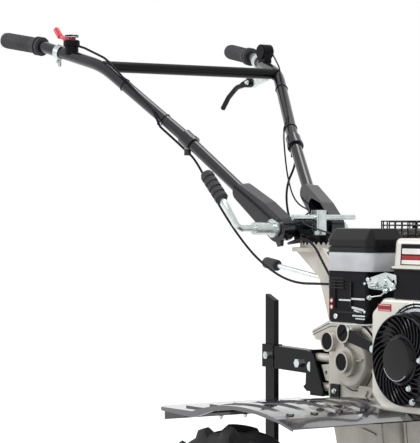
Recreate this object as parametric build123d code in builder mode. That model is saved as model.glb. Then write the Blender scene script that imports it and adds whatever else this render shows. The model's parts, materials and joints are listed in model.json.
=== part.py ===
"""Walk-behind two-wheel tractor (hand tractor), in millimetres.

X points forward, Y to the machine's left and Z up. The origin is on the floor under the middle
of the machine. Most places are given forward, left and up from the handlebar hub, the horizontal
bolt that the handlebar tilts on, by the functions at(), flat() and outline().
"""

import os
from math import cos, radians, sin

from build123d import *

# ---- driving dimensions -------------------------------------------------------------------
GRIP_REACH = 733.0  # handlebar hub back to the rear end of the grips
FRONT_REACH = 756.5  # handlebar hub forward to the front of the bumper
HUB_HEIGHT = 765.0  # handlebar hub above the floor
WHEEL_RADIUS = 203.0
TYRE_WIDTH = 108.0
TRACK = 740.0  # between the middles of the two tyres
AXLE_AHEAD = 270.0  # axle in front of the handlebar hub
STEER_AHEAD = 42.0  # steering axis in front of the handlebar hub
CRANK_AHEAD = 555.0  # engine crankshaft in front of the handlebar hub
CRANK_DROP = 230.0  # and below it
ENGINE_BASE_DROP = 334.0  # engine mounting face below the hub
HUB_X = (GRIP_REACH - FRONT_REACH) / 2

# ---- clearances ---------------------------------------------------------------------------
RUNNING = 0.05  # radial, shaft in its bore
SEAT = 0.3  # between pieces that seat on each other without a fit


def at(x, y, z):
    """A point given forward, left and up from the handlebar hub."""
    return Vector(HUB_X + x, y, HUB_HEIGHT + z)


def flat(x, z):
    """The same point in a side-view sketch, which has no y."""
    return (HUB_X + x, HUB_HEIGHT + z)


def outline(*corners):
    """Corners of a side-view profile, each given forward and up from the hub."""
    return [flat(x, z) for x, z in corners]


def side_view(y):
    """Sketch plane at the given y, with X to the right and Z up; it extrudes towards -Y."""
    return Plane.XZ.offset(-y)


def plan_view(z):
    """Sketch plane seen from above, z being given from the hub."""
    return Plane.XY.offset(HUB_HEIGHT + z)


def rod(start, end, diameter, bore=0.0):
    """Straight round bar or tube between two points."""
    run = end - start
    with BuildPart() as bar:
        with BuildSketch(Plane(origin=start, z_dir=run)):
            Circle(diameter / 2)
            if bore:
                Circle(bore / 2, mode=Mode.SUBTRACT)
        extrude(amount=run.length)
    return bar.part


def bent_tube(points, bend_radii, diameter, bore=0.0, closed=False):
    """Round tube along straight runs joined by tangent arcs."""
    with BuildPart() as pipe:
        with BuildLine() as route:
            FilletPolyline(*points, radius=bend_radii, close=closed)
        with BuildSketch(Plane(origin=route.line @ 0, z_dir=route.line % 0)):
            Circle(diameter / 2)
            if bore:
                Circle(bore / 2, mode=Mode.SUBTRACT)
        sweep(path=route.line)
    return pipe.part


def mirrored(part):
    """The same piece on the other side of the machine."""
    return mirror(part, about=Plane.XZ)


def both_sides(part):
    """A piece of the right-hand side together with its mirror image."""
    return Compound([part, mirrored(part)])


def beside(point, line, up, out):
    """A point beside a bar that runs back along line: up square to it, and out to the right."""
    lift = (Vector(0, 0, 1) - line * line.Z).normalized()
    return point + lift * up - line.cross(lift) * out


def save(part, name):
    """Label one finished piece and write its file."""
    part.label = name
    export_step(part, f"parts/{name}.step")


os.makedirs("parts", exist_ok=True)

# ---- wheels and axle ----------------------------------------------------------------------
RIM_RADIUS = 101.6
RIM_WIDTH = 84.0
RIM_FLANGE = 13.0
RIM_WALL = 3.0
DISC_INSET = 4.0  # wheel disc's bolting face, inboard of the tyre's middle
DISC_THICK = 4.0
WHEEL_BOLT_CIRCLE = 38.0
WHEEL_BOLT_HOLE = 5.0
AXLE_DIAMETER = 32.0
AXLE_HEX = 27.0  # across flats, outside the gearbox
AXLE_HEX_CORNER = AXLE_HEX / 2 / cos(radians(30))
AXLE_BOSS_Y = 95.0  # outer face of the gearbox's axle bosses
WHEEL_HUB_DIAMETER = 44.0
WHEEL_HUB_INNER_Y = 112.0
HUB_FLANGE_RADIUS = 52.0
HUB_FLANGE_THICK = 8.0
AXLE_END_Y = TRACK / 2 + 22
AXLE_X = HUB_X + AXLE_AHEAD
AXLE_POINT = (AXLE_X, WHEEL_RADIUS)

bead = RIM_WIDTH / 2 - SEAT
wall = TYRE_WIDTH / 2
with BuildPart() as tyre:
    with BuildSketch(Plane.YZ):
        Polygon(
            (-bead, RIM_RADIUS + SEAT),
            (-bead, RIM_RADIUS + 14),
            (-wall, RIM_RADIUS + 46),
            (-wall + 3, WHEEL_RADIUS - 24),
            (-wall + 16, WHEEL_RADIUS - 6),
            (0, WHEEL_RADIUS),
            (wall - 16, WHEEL_RADIUS - 6),
            (wall - 3, WHEEL_RADIUS - 24),
            (wall, RIM_RADIUS + 46),
            (bead, RIM_RADIUS + 14),
            (bead, RIM_RADIUS + SEAT),
            (bead - 12, RIM_RADIUS + SEAT),
            (wall - 12, RIM_RADIUS + 46),
            (wall - 18, WHEEL_RADIUS - 26),
            (-wall + 18, WHEEL_RADIUS - 26),
            (-wall + 12, RIM_RADIUS + 46),
            (-bead + 12, RIM_RADIUS + SEAT),
            align=None,
        )
    revolve(axis=Axis.Y)
for side, name in ((-1, "tyre_right"), (1, "tyre_left")):
    save(Pos(AXLE_X, side * TRACK / 2, WHEEL_RADIUS) * tyre.part, name)

rim_edge = RIM_WIDTH / 2 + RIM_WALL
with BuildPart() as rim:
    with BuildSketch(Plane.YZ):
        Polygon(
            (-rim_edge, RIM_RADIUS + RIM_FLANGE),
            (-rim_edge + RIM_WALL, RIM_RADIUS + RIM_FLANGE),
            (-rim_edge + RIM_WALL, RIM_RADIUS),
            (rim_edge - RIM_WALL, RIM_RADIUS),
            (rim_edge - RIM_WALL, RIM_RADIUS + RIM_FLANGE),
            (rim_edge, RIM_RADIUS + RIM_FLANGE),
            (rim_edge, RIM_RADIUS - RIM_WALL),
            (-rim_edge, RIM_RADIUS - RIM_WALL),
            align=None,
        )
        Polygon(
            (-DISC_INSET, AXLE_HEX_CORNER + SEAT),
            (-DISC_INSET + DISC_THICK, AXLE_HEX_CORNER + SEAT),
            (-DISC_INSET + DISC_THICK, 56),
            (14, 72),
            (14, RIM_RADIUS - RIM_WALL / 2),
            (14 - DISC_THICK, RIM_RADIUS - RIM_WALL / 2),
            (14 - DISC_THICK, 74),
            (-DISC_INSET, 58),
            align=None,
        )
    revolve(axis=Axis.Y)
    with BuildSketch(Plane.XZ):
        with PolarLocations(WHEEL_BOLT_CIRCLE, 4):
            Circle(WHEEL_BOLT_HOLE)
        with PolarLocations(86, 6):
            Circle(6)
    extrude(amount=30, both=True, mode=Mode.SUBTRACT)
rims = [
    Pos(AXLE_X, side * TRACK / 2, WHEEL_RADIUS) * Rot(0, 0, 90 - 90 * side) * rim.part
    for side in (-1, 1)
]
save(Compound(rims), "rims")

with BuildPart() as axle_shaft:
    with BuildSketch(Plane.XZ):
        with Locations(AXLE_POINT):
            Circle(AXLE_DIAMETER / 2)
    extrude(amount=AXLE_BOSS_Y + 8, both=True)
    with BuildSketch(Plane.XZ):
        with Locations(AXLE_POINT):
            RegularPolygon(AXLE_HEX / 2, 6, major_radius=False)
    extrude(amount=AXLE_END_Y, both=True)
save(axle_shaft.part, "axle_shaft")

flange_face = TRACK / 2 - DISC_INSET - SEAT  # the hub flange meets the wheel disc here
with BuildPart() as wheel_hub:
    with BuildSketch(side_view(-WHEEL_HUB_INNER_Y)):
        with Locations(AXLE_POINT):
            Circle(WHEEL_HUB_DIAMETER / 2)
    extrude(amount=flange_face - WHEEL_HUB_INNER_Y)
    with BuildSketch(side_view(-flange_face + HUB_FLANGE_THICK)):
        with Locations(AXLE_POINT):
            Circle(HUB_FLANGE_RADIUS)
            with PolarLocations(WHEEL_BOLT_CIRCLE, 4):
                Circle(WHEEL_BOLT_HOLE, mode=Mode.SUBTRACT)
    extrude(amount=HUB_FLANGE_THICK)
    with BuildSketch(Plane.XZ):
        with Locations(AXLE_POINT):
            RegularPolygon(AXLE_HEX / 2 + SEAT, 6, major_radius=False)
    extrude(amount=TRACK, mode=Mode.SUBTRACT)
save(both_sides(wheel_hub.part), "wheel_hubs")

# ---- gearbox ------------------------------------------------------------------------------
CASE_HALF_WIDTH = 50.0
CASE_FLANGE = 7.0
FLANGE_THICK = 6.0
LOWER_RADIUS = 68.0
BULGE_REACH = 66.0  # outer face of the round bulge, from the middle plane
CAP_RADIUS = 17.0
CAP_RECESS = 5.0
COVER_HALF_WIDTH = 48.0
BOSS_ROOT = COVER_HALF_WIDTH + SEAT
BEARING_A = flat(168, -221)
BEARING_B = flat(227, -258)
BEARING_C = flat(218, -202)
ARM_LUG = flat(318, -228)
FOOT_BOTTOM = -345.0
HITCH_STUD_Y = 37.0
HITCH_STUD_ZS = (-258.0, -316.0)
HITCH_PLATE_FRONT = 88.0  # front face of the hitch's base plate
COVER_SEAT = ((88, -213), (146, -193), (222, -190))
case_corners = (
    # place, radius
    (flat(162, -228), 24.0),
    (flat(164, -322), 28.0),
    (flat(236, -258), 64.0),
    (AXLE_POINT, LOWER_RADIUS),
)
bearings = (
    # place, boss radius, reach from the middle plane
    (BEARING_A, 20.5, 75.0),
    (BEARING_C, 20.5, 75.0),
    (BEARING_B, 21.0, 85.0),
)
flange_bolts = (
    # corner of the case, direction from its centre in degrees
    (0, 165.0),
    (1, 190.0),
    (2, 15.0),
    (2, -25.0),
    (3, 190.0),
    (3, 235.0),
    (3, 305.0),
    (3, 350.0),
)

with BuildPart() as gearbox_half:
    with BuildSketch(side_view(0)):
        for place, radius in case_corners:
            with Locations(place):
                Circle(radius)
        make_hull()
    extrude(amount=CASE_HALF_WIDTH)
    fillet(gearbox_half.faces().sort_by(Axis.Y)[0].edges(), 8)
    with BuildSketch(side_view(0)):
        for place, radius in case_corners:
            with Locations(place):
                Circle(radius + CASE_FLANGE)
        make_hull()
        for corner, direction in flange_bolts:
            place, radius = case_corners[corner]
            reach = radius + CASE_FLANGE
            x = place[0] + reach * cos(radians(direction))
            z = place[1] + reach * sin(radians(direction))
            with Locations((x, z)):
                Circle(8)
    extrude(amount=FLANGE_THICK)
    # round bulge over the reduction gear, stepped up to its bearing
    with BuildSketch(side_view(0)):
        with Locations(BEARING_B):
            Circle(57)
    extrude(amount=BULGE_REACH, taper=5)
    fillet(gearbox_half.faces().sort_by(Axis.Y)[0].edges(), 6)
    with BuildSketch(side_view(0)):
        with Locations(BEARING_B):
            Circle(29)
    extrude(amount=bearings[2][2] - 9)
    for place, radius, reach in bearings:
        with BuildSketch(side_view(-BOSS_ROOT)):
            with Locations(place):
                Circle(radius)
        extrude(amount=reach - BOSS_ROOT)
    with BuildSketch(side_view(0)):
        with Locations(AXLE_POINT):
            Circle(46)
    extrude(amount=AXLE_BOSS_Y, taper=1.5)
    # clutch wall in front, with the ribbed foot below
    with BuildSketch(side_view(0)):
        Polygon(*outline((270, -212), (330, -222), (330, FOOT_BOTTOM), (262, FOOT_BOTTOM)), align=None)
    extrude(amount=44)
    with BuildSketch(side_view(0)):
        Polygon(
            *outline(
                (258, -303),
                (300, -303),
                (336, -316),
                (345, -331),
                (345, FOOT_BOTTOM),
                (240, FOOT_BOTTOM),
            ),
            align=None,
        )
    extrude(amount=64)
    with BuildSketch(side_view(0)):
        Polygon(*outline((276, -268), (334, -284), (336, -292), (276, -276)), align=None)
        Polygon(*outline((296, -306), (322, -240), (330, -240), (308, -310)), align=None)
    extrude(amount=53)
    # lip under the shift cover
    with BuildSketch(side_view(0)):
        lip_top = [(x, z - SEAT) for x, z in COVER_SEAT]
        Polygon(*outline(*lip_top, (222, -225), (150, -225), (96, -222)), align=None)
    extrude(amount=COVER_HALF_WIDTH)
    with BuildSketch(side_view(0)):
        Polygon(*outline(*lip_top, (222, -150), (88, -150)), align=None)
    extrude(amount=BOSS_ROOT, mode=Mode.SUBTRACT)
    # bosses that carry the hitch
    for z in HITCH_STUD_ZS:
        add(rod(at(160, -HITCH_STUD_Y, z), at(HITCH_PLATE_FRONT + SEAT, -HITCH_STUD_Y, z), 17))
        add(
            rod(at(112, -HITCH_STUD_Y, z), at(HITCH_PLATE_FRONT, -HITCH_STUD_Y, z), 9),
            mode=Mode.SUBTRACT,
        )
    for place, _, reach in bearings:
        with BuildSketch(side_view(-reach + CAP_RECESS)):
            with Locations(place):
                Circle(CAP_RADIUS)
        extrude(amount=CAP_RECESS + 1, mode=Mode.SUBTRACT)
    with BuildSketch(side_view(0)):
        with Locations(AXLE_POINT):
            Circle(AXLE_DIAMETER / 2 + RUNNING)
    extrude(amount=AXLE_BOSS_Y + 5, mode=Mode.SUBTRACT)

with BuildPart() as gearbox_right:
    add(gearbox_half.part)
    # lifting ear at the rear
    with BuildSketch(side_view(-34)):
        Polygon(*outline((108, -272), (160, -266), (160, -306), (122, -302)), align=None)
        with Locations(flat(124, -287)):
            Circle(4, mode=Mode.SUBTRACT)
    extrude(amount=9)
save(gearbox_right.part, "gearbox_right")
save(mirrored(gearbox_half.part), "gearbox_left")

with BuildPart() as bearing_caps:
    for place, _, reach in bearings:
        with BuildSketch(side_view(-reach + CAP_RECESS)):
            with Locations(place):
                Circle(CAP_RADIUS - SEAT)
        extrude(amount=CAP_RECESS - 1.5)
    with BuildSketch(side_view(-bearings[1][2] + 3.5)):
        with Locations(BEARING_C):
            Rectangle(24, 4, rotation=35)
    extrude(amount=5, mode=Mode.SUBTRACT)
save(both_sides(bearing_caps.part), "bearing_caps")

# arm that the clutch cable pulls, from bearing C to a stud on the clutch wall
ARM_INNER_Y = BULGE_REACH + 2 * SEAT
with BuildPart() as clutch_arm:
    with BuildSketch(side_view(-ARM_INNER_Y)):
        with Locations(BEARING_C):
            Circle(13)
        with Locations(ARM_LUG):
            Circle(9)
        make_hull()
        with Locations(BEARING_C):
            Circle(bearings[1][1] + SEAT, mode=Mode.SUBTRACT)
    extrude(amount=7)
    with BuildSketch(side_view(-44 - SEAT)):
        with Locations(ARM_LUG):
            Circle(5)
    extrude(amount=ARM_INNER_Y - 44)
save(clutch_arm.part, "clutch_arm")

SHIFT_COVER_TOP = -176.0
cover_back = ((84, -204), (142, -181))
cover_bolts = [(HUB_X + x, y) for x in (158, 206) for y in (-40, 40)]
with BuildPart() as shift_cover:
    with BuildSketch(side_view(COVER_HALF_WIDTH)):
        Polygon(
            *outline(
                *COVER_SEAT,
                (222, -182),
                (214, SHIFT_COVER_TOP),
                (150, SHIFT_COVER_TOP),
                *reversed(cover_back),
            ),
            align=None,
        )
    extrude(amount=2 * COVER_HALF_WIDTH)
    with BuildSketch(plan_view(SHIFT_COVER_TOP)):
        with Locations(*cover_bolts):
            Circle(4)
    extrude(amount=-12, mode=Mode.SUBTRACT)
save(shift_cover.part, "shift_cover")

# ---- steering post and gear lever ---------------------------------------------------------
POST_TOP = -39.0
POST_PLATE = 8.0
POST_HALF_WIDTH = 30.0
POST_WALL = 5.0
POST_BASE = SHIFT_COVER_TOP + SEAT
STEER_POINT = (HUB_X + STEER_AHEAD, 0)
CLAMP_SCREW = 14.0
CLAMP_NUT = 9.0
SHIFT_ROD = 10.0
slope = (cover_back[1][1] - cover_back[0][1]) / (cover_back[1][0] - cover_back[0][0])
post_heel = (118, cover_back[0][1] + slope * (118 - cover_back[0][0]) + SEAT)
shift_route = (at(-124, 0, -76), at(152, 0, -114), at(152, 0, POST_BASE))

with BuildPart() as steering_post:
    with BuildSketch(side_view(POST_HALF_WIDTH)):
        Polygon(
            *outline(
                (6, POST_TOP),
                (6, POST_TOP - POST_PLATE),
                (84, -100),
                (113, POST_BASE),
                post_heel,
                (142, cover_back[1][1] + SEAT),
                (150, POST_BASE),
                (198, POST_BASE),
                (182, -122),
                (92, POST_TOP),
            ),
            align=None,
        )
    extrude(amount=2 * POST_HALF_WIDTH)
    with BuildSketch(side_view(POST_HALF_WIDTH - POST_WALL)):
        Polygon(
            *outline(
                (15, POST_TOP - POST_PLATE),
                (90, -98),
                (121, POST_BASE - 20),
                (240, POST_BASE - 20),
                (240, POST_TOP - POST_PLATE),
            ),
            align=None,
        )
    extrude(amount=2 * (POST_HALF_WIDTH - POST_WALL), mode=Mode.SUBTRACT)
    with BuildSketch(plan_view(POST_TOP)):
        with Locations(STEER_POINT):
            Circle(55)
            Circle(CLAMP_SCREW / 2 + RUNNING, mode=Mode.SUBTRACT)
    extrude(amount=-POST_PLATE)
    with BuildSketch(plan_view(POST_BASE)):
        with Locations((HUB_X + 182, 0)):
            RectangleRounded(62, 2 * COVER_HALF_WIDTH, 8)
            Rectangle(70, 2 * (POST_HALF_WIDTH - POST_WALL), mode=Mode.SUBTRACT)
        with Locations(*cover_bolts):
            Circle(4, mode=Mode.SUBTRACT)
    extrude(amount=8)
    with BuildSketch(plan_view(POST_TOP)):
        with Locations(STEER_POINT):
            Circle(CLAMP_SCREW / 2 + RUNNING)
    extrude(amount=-POST_PLATE, mode=Mode.SUBTRACT)
    add(rod(shift_route[1], shift_route[0], SHIFT_ROD + 2 * SEAT), mode=Mode.SUBTRACT)
save(steering_post.part, "steering_post")

with BuildPart() as shift_lever:
    add(bent_tube(shift_route, [14], SHIFT_ROD))
save(shift_lever.part, "shift_lever")

shift_line = (shift_route[1] - shift_route[0]).normalized()
with BuildPart() as shift_knob:
    add(rod(shift_route[0] - shift_line * 24, shift_route[0] + shift_line * 24, 24))
    fillet(shift_knob.faces().sort_by(Axis.X)[0].edges(), 8)
    fillet(shift_knob.faces().sort_by(Axis.X)[-1].edges(), 5)
    add(rod(shift_route[0] - shift_line * SEAT, shift_route[1], SHIFT_ROD + 2 * SEAT), mode=Mode.SUBTRACT)
save(shift_knob.part, "shift_knob")

# ---- toothed swivel -----------------------------------------------------------------------
TOOTH_COUNT = 24
TOOTH_DEPTH = 8.5
RING_RADIUS = 38.0
SPIGOT_RADIUS = 35.5
SKIRT_BOTTOM = -35.5
SKIRT_TOP = -26.0
DECK_TOP = -14.0

with BuildPart() as toothed_ring:
    with BuildSketch(plan_view(POST_TOP)):
        with Locations(STEER_POINT):
            Circle(RING_RADIUS)
    extrude(amount=SKIRT_BOTTOM - SEAT - POST_TOP)
    with BuildSketch(plan_view(POST_TOP)):
        with Locations(STEER_POINT):
            Circle(SPIGOT_RADIUS)
    extrude(amount=SKIRT_TOP - SEAT - POST_TOP)
    with BuildSketch(plan_view(POST_TOP)):
        with Locations(STEER_POINT):
            Circle(CLAMP_SCREW / 2 + RUNNING)
    extrude(amount=30, mode=Mode.SUBTRACT)
save(toothed_ring.part, "toothed_ring")

HUB_HALF_WIDTH = 46.0
HUB_BARREL = 18.0
HUB_BOLT = 16.0
half_tooth = RING_RADIUS * sin(radians(180 / TOOTH_COUNT)) - 0.4
with BuildPart() as swivel_bracket:
    with BuildSketch(plan_view(SKIRT_BOTTOM)):
        with Locations(STEER_POINT):
            Circle(RING_RADIUS)
            Circle(SPIGOT_RADIUS + SEAT, mode=Mode.SUBTRACT)
    extrude(amount=SKIRT_TOP - SKIRT_BOTTOM)
    for step in range(TOOTH_COUNT):
        skirt_foot = Plane(at(STEER_AHEAD, 0, SKIRT_BOTTOM))
        with BuildSketch(skirt_foot * Rot(0, 0, 360 * step / TOOTH_COUNT) * Plane.YZ):
            Polygon((-half_tooth, -1), (half_tooth, -1), (0, TOOTH_DEPTH), align=None)
        extrude(amount=RING_RADIUS + 5, mode=Mode.SUBTRACT)
    with BuildSketch(plan_view(SKIRT_TOP)):
        with Locations(STEER_POINT):
            Circle(RING_RADIUS)
    extrude(amount=DECK_TOP - SKIRT_TOP)
    # hub barrel, and the web that joins it to the deck
    with BuildSketch(side_view(HUB_HALF_WIDTH)):
        with Locations(flat(0, 0)):
            Circle(HUB_BARREL)
    extrude(amount=2 * HUB_HALF_WIDTH)
    with BuildSketch(side_view(34)):
        Polygon(
            *outline((-6, 16), (8, 16), (24, DECK_TOP), (60, DECK_TOP), (60, SKIRT_TOP), (4, SKIRT_TOP)),
            align=None,
        )
    extrude(amount=68)
    with BuildSketch(side_view(HUB_HALF_WIDTH)):
        with Locations(flat(0, 0)):
            Circle(HUB_BOLT / 2 + RUNNING)
    extrude(amount=2 * HUB_HALF_WIDTH, mode=Mode.SUBTRACT)
    with BuildSketch(plan_view(SKIRT_BOTTOM)):
        with Locations(STEER_POINT):
            Circle(CLAMP_SCREW / 2 + SEAT)
    extrude(amount=60, mode=Mode.SUBTRACT)
save(swivel_bracket.part, "swivel_bracket")

screw_bottom = POST_TOP - POST_PLATE - SEAT - CLAMP_NUT
with BuildPart() as swivel_lock:
    with BuildSketch(plan_view(screw_bottom)):
        with Locations(STEER_POINT):
            Circle(CLAMP_SCREW / 2)
    extrude(amount=DECK_TOP + 10 - screw_bottom)
    with BuildSketch(plan_view(screw_bottom)):
        with Locations(STEER_POINT):
            RegularPolygon(10.5, 6)
    extrude(amount=CLAMP_NUT)
    with BuildSketch(plan_view(DECK_TOP + SEAT)):
        with Locations(STEER_POINT):
            Circle(14)
    extrude(amount=8)
    with BuildSketch(plan_view(DECK_TOP + 8)):
        with Locations(STEER_POINT):
            RectangleRounded(24, 24, 4)
    extrude(amount=43)
    with BuildSketch(side_view(90)):
        with Locations(flat(STEER_AHEAD, 22)):
            Circle(5.5)
    extrude(amount=156)
save(swivel_lock.part, "swivel_lock")

# ---- handlebar ----------------------------------------------------------------------------
BAR_DIAMETER = 25.4
BAR_BORE = 21.4
BAR_BENDS = [300, 160, 60]
GRIP_DIAMETER = 34.0
GRIP_LENGTH = 130.0
COLLAR_DIAMETER = 33.0
CLIP_DROP = 27.0  # cable below the bar at its collar
CABLE = 5.0
CROSSBAR_DIAMETER = 24.0
EAR_FACE_Y = 79.0  # outer face of the ear where the bolt bears on it
EAR_THICK = 30.0
EAR_WALL = 4.0
# right-hand stations; the left bar mirrors them
bar_route = (
    at(-90, -79, 60),
    at(-240, -141, 191),
    at(-425, -232, 347),
    at(-597, -281, 398),
    at(-724, -306, 420),
)
lower_line = (bar_route[0] - bar_route[1]).normalized()
middle_line = (bar_route[2] - bar_route[1]).normalized()
upper_line = (bar_route[3] - bar_route[2]).normalized()
grip_line = (bar_route[4] - bar_route[3]).normalized()
bar_envelope = bent_tube(bar_route, BAR_BENDS, BAR_DIAMETER + 2 * SEAT)
with BuildPart() as right_bar:
    add(bent_tube(bar_route, BAR_BENDS, BAR_DIAMETER, BAR_BORE))
save(right_bar.part, "right_bar")
save(mirrored(right_bar.part), "left_bar")

with BuildPart() as crossbar:
    add(rod(at(-425, -232, 347), at(-425, 232, 347), CROSSBAR_DIAMETER, CROSSBAR_DIAMETER - 4))
    add(bar_envelope, mode=Mode.SUBTRACT)
    add(mirrored(bar_envelope), mode=Mode.SUBTRACT)
save(crossbar.part, "crossbar")

clip_point = bar_route[1] + lower_line * 8 - Vector(0, 0, CLIP_DROP)
clip_in = clip_point - lower_line * 30
clip_out = clip_point + lower_line * 10
with BuildPart() as bar_collar:
    add(rod(bar_route[1] - lower_line * 4, bar_route[1] + lower_line * 26, COLLAR_DIAMETER))
    add(rod(bar_route[1] + lower_line * 18, bar_route[1] + lower_line * 26, COLLAR_DIAMETER + 3))
    add(rod(clip_point + Vector(0, 0, CLIP_DROP - 12), clip_point - Vector(0, 0, 7), 15))
    add(bar_envelope, mode=Mode.SUBTRACT)
    add(rod(clip_in, clip_out + lower_line * 5, CABLE + 2 * SEAT), mode=Mode.SUBTRACT)
save(both_sides(bar_collar.part), "bar_collars")

ear_line = at(-116, -88, 83) - at(0, -65, 0)
ear_plane = Plane(
    origin=at(0, -65, 0),
    x_dir=ear_line,
    z_dir=Vector(0, -1, 0).cross(ear_line).cross(ear_line),
)
ear_circles = (
    # along the ear, across it, radius
    (0, 0, 27.0),
    (52, 4, 23.0),
    (130, 0, 17.0),
)
with BuildPart() as bar_bracket:
    with BuildSketch(ear_plane):
        for along, across, radius in ear_circles:
            with Locations((along, across)):
                Circle(radius)
        make_hull()
    extrude(amount=EAR_THICK / 2, both=True)
    # open on the inner side, so the ear is a pressed channel
    with BuildSketch(ear_plane.offset(-EAR_THICK / 2 + EAR_WALL)):
        for along, across, radius in ear_circles[:2]:
            with Locations((along, across)):
                Circle(radius - EAR_WALL)
        with Locations((84, 0)):
            Circle(12)
        make_hull()
    extrude(amount=EAR_THICK, mode=Mode.SUBTRACT)
    with BuildSketch(side_view(-HUB_HALF_WIDTH - SEAT)):
        with Locations(flat(0, 0)):
            Circle(15)
    extrude(amount=EAR_FACE_Y - HUB_HALF_WIDTH - 4)
    # hooked toe below the bolt
    with BuildSketch(side_view(-EAR_FACE_Y + 12)):
        Polygon(*outline((-18, -14), (14, -18), (12, -36), (2, -38), (-4, -29)), align=None)
    extrude(amount=8)
    add(bar_envelope, mode=Mode.SUBTRACT)
    with BuildSketch(side_view(-EAR_FACE_Y)):
        with Locations(flat(0, 0)):
            Circle(21)
    extrude(amount=30, mode=Mode.SUBTRACT)
    with BuildSketch(side_view(0)):
        with Locations(flat(0, 0)):
            Circle(HUB_BOLT / 2 + SEAT)
    extrude(amount=120, mode=Mode.SUBTRACT)
save(both_sides(bar_bracket.part), "bar_brackets")

with BuildPart() as grip:
    add(rod(bar_route[4] + grip_line * 5, bar_route[4] - grip_line * (GRIP_LENGTH - 5), GRIP_DIAMETER))
    fillet(grip.faces().sort_by(Axis.X)[0].edges(), 4)
    for step in range(2):
        flange_at = bar_route[4] - grip_line * (GRIP_LENGTH - 5 - 11 * step)
        add(rod(flange_at, flange_at + grip_line * 5, GRIP_DIAMETER + 8))
    add(
        rod(bar_route[4] - grip_line * GRIP_LENGTH, bar_route[4] + grip_line * SEAT, BAR_DIAMETER + 2 * SEAT),
        mode=Mode.SUBTRACT,
    )
save(both_sides(grip.part), "grips")

LEVER_ROD = 13.0
lever_route = (at(0, -118, 0), at(8, -177, 0), at(-10, -193, 46), at(-66, -201, 106))
lever_line = (lever_route[3] - lever_route[2]).normalized()
with BuildPart() as tilt_lock:
    add(rod(at(0, EAR_FACE_Y + 22, 0), at(0, -132, 0), HUB_BOLT))
    with BuildSketch(side_view(-EAR_FACE_Y - SEAT)):
        with Locations(flat(0, 0)):
            Circle(19)
    extrude(amount=9)
    with BuildSketch(side_view(-EAR_FACE_Y - SEAT)):
        with Locations(flat(0, 0)):
            Circle(13)
    extrude(amount=53)
    with BuildSketch(side_view(EAR_FACE_Y + 16)):
        with Locations(flat(0, 0)):
            RegularPolygon(14, 6)
    extrude(amount=16 - SEAT)
    add(bent_tube(lever_route, [16, 40], LEVER_ROD))
save(tilt_lock.part, "tilt_lock")

with BuildPart() as lock_grip:
    add(rod(lever_route[2] + lever_line * 16, lever_route[3] + lever_line * 6, 23))
    for step in range(5):
        ridge = lever_route[2] + lever_line * (19 + 14 * step)
        add(rod(ridge, ridge + lever_line * 8, 28))
    add(rod(lever_route[2], lever_route[3] + lever_line * SEAT, LEVER_ROD + 2 * SEAT), mode=Mode.SUBTRACT)
save(lock_grip.part, "lock_grip")

# ---- hand controls ------------------------------------------------------------------------
throttle_seat = bar_route[2] + upper_line * 98 + Vector(0, 0, BAR_DIAMETER / 2 + 2)
clamp_point = bar_route[2] + upper_line * 136
left_clamp = Vector(clamp_point.X, -clamp_point.Y, clamp_point.Z)
left_upper = Vector(upper_line.X, -upper_line.Y, upper_line.Z)
clutch_pivot = at(-592, 276, 338)
PIVOT_PIN = 8.0

with BuildPart() as throttle_housing:
    with BuildSketch(Plane(throttle_seat - Vector(0, 0, 12))):
        Circle(15)
    extrude(amount=20)
    with BuildSketch(Plane(throttle_seat + Vector(0, 0, 7))):
        Circle(18)
    extrude(amount=13)
    chamfer(throttle_housing.faces().sort_by(Axis.Z)[-1].edges(), 2.5)
    add(bar_envelope, mode=Mode.SUBTRACT)
save(throttle_housing.part.solids().sort_by(Axis.Z)[-1], "throttle_housing")

knuckle = throttle_seat + Vector(0, 0, 20 + SEAT)
with BuildPart() as throttle_lever:
    with BuildSketch(Plane(knuckle)):
        Circle(9)
        with Locations((-26, 0)):
            Circle(6)
        make_hull()
    extrude(amount=5)
    add(rod(knuckle + Vector(-24, 0, 3), knuckle + Vector(-56, 0, 14), 9))
    add(rod(knuckle + Vector(-50, 0, 11), knuckle + Vector(-68, 0, 28), 13))
save(throttle_lever.part, "throttle_lever")

switch_seat = Vector(throttle_seat.X + 4, -throttle_seat.Y - 1, throttle_seat.Z)
with BuildPart() as stop_switch:
    with BuildSketch(Plane(switch_seat - Vector(0, 0, 10))):
        Rectangle(24, 20)
    extrude(amount=22)
    add(rod(switch_seat + Vector(0, 13, 16), switch_seat + Vector(0, -13, 16), 34))
    add(mirrored(bar_envelope), mode=Mode.SUBTRACT)
save(stop_switch.part.solids().sort_by(Axis.Z)[-1], "stop_switch")

with BuildPart() as throttle_clamp:
    add(rod(clamp_point - upper_line * 7, clamp_point + upper_line * 7, BAR_DIAMETER + 6))
    add(rod(clamp_point, clamp_point - Vector(0, 0, 26), 8))
    add(bar_envelope, mode=Mode.SUBTRACT)
with BuildPart() as clutch_bracket:
    add(rod(left_clamp - left_upper * 11, left_clamp + left_upper * 11, BAR_DIAMETER + 7))
    with BuildSketch(side_view(clutch_pivot.Y + 5)):
        Polygon(*outline((-572, 380), (-538, 384), (-530, 340), (-592, 325), (-606, 342)), align=None)
    extrude(amount=10)
    add(mirrored(bar_envelope), mode=Mode.SUBTRACT)
    with BuildSketch(side_view(clutch_pivot.Y + 20)):
        with Locations((clutch_pivot.X, clutch_pivot.Z)):
            Circle(PIVOT_PIN / 2)
    extrude(amount=40, mode=Mode.SUBTRACT)
save(Compound([throttle_clamp.part, clutch_bracket.part]), "control_clamps")

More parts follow.
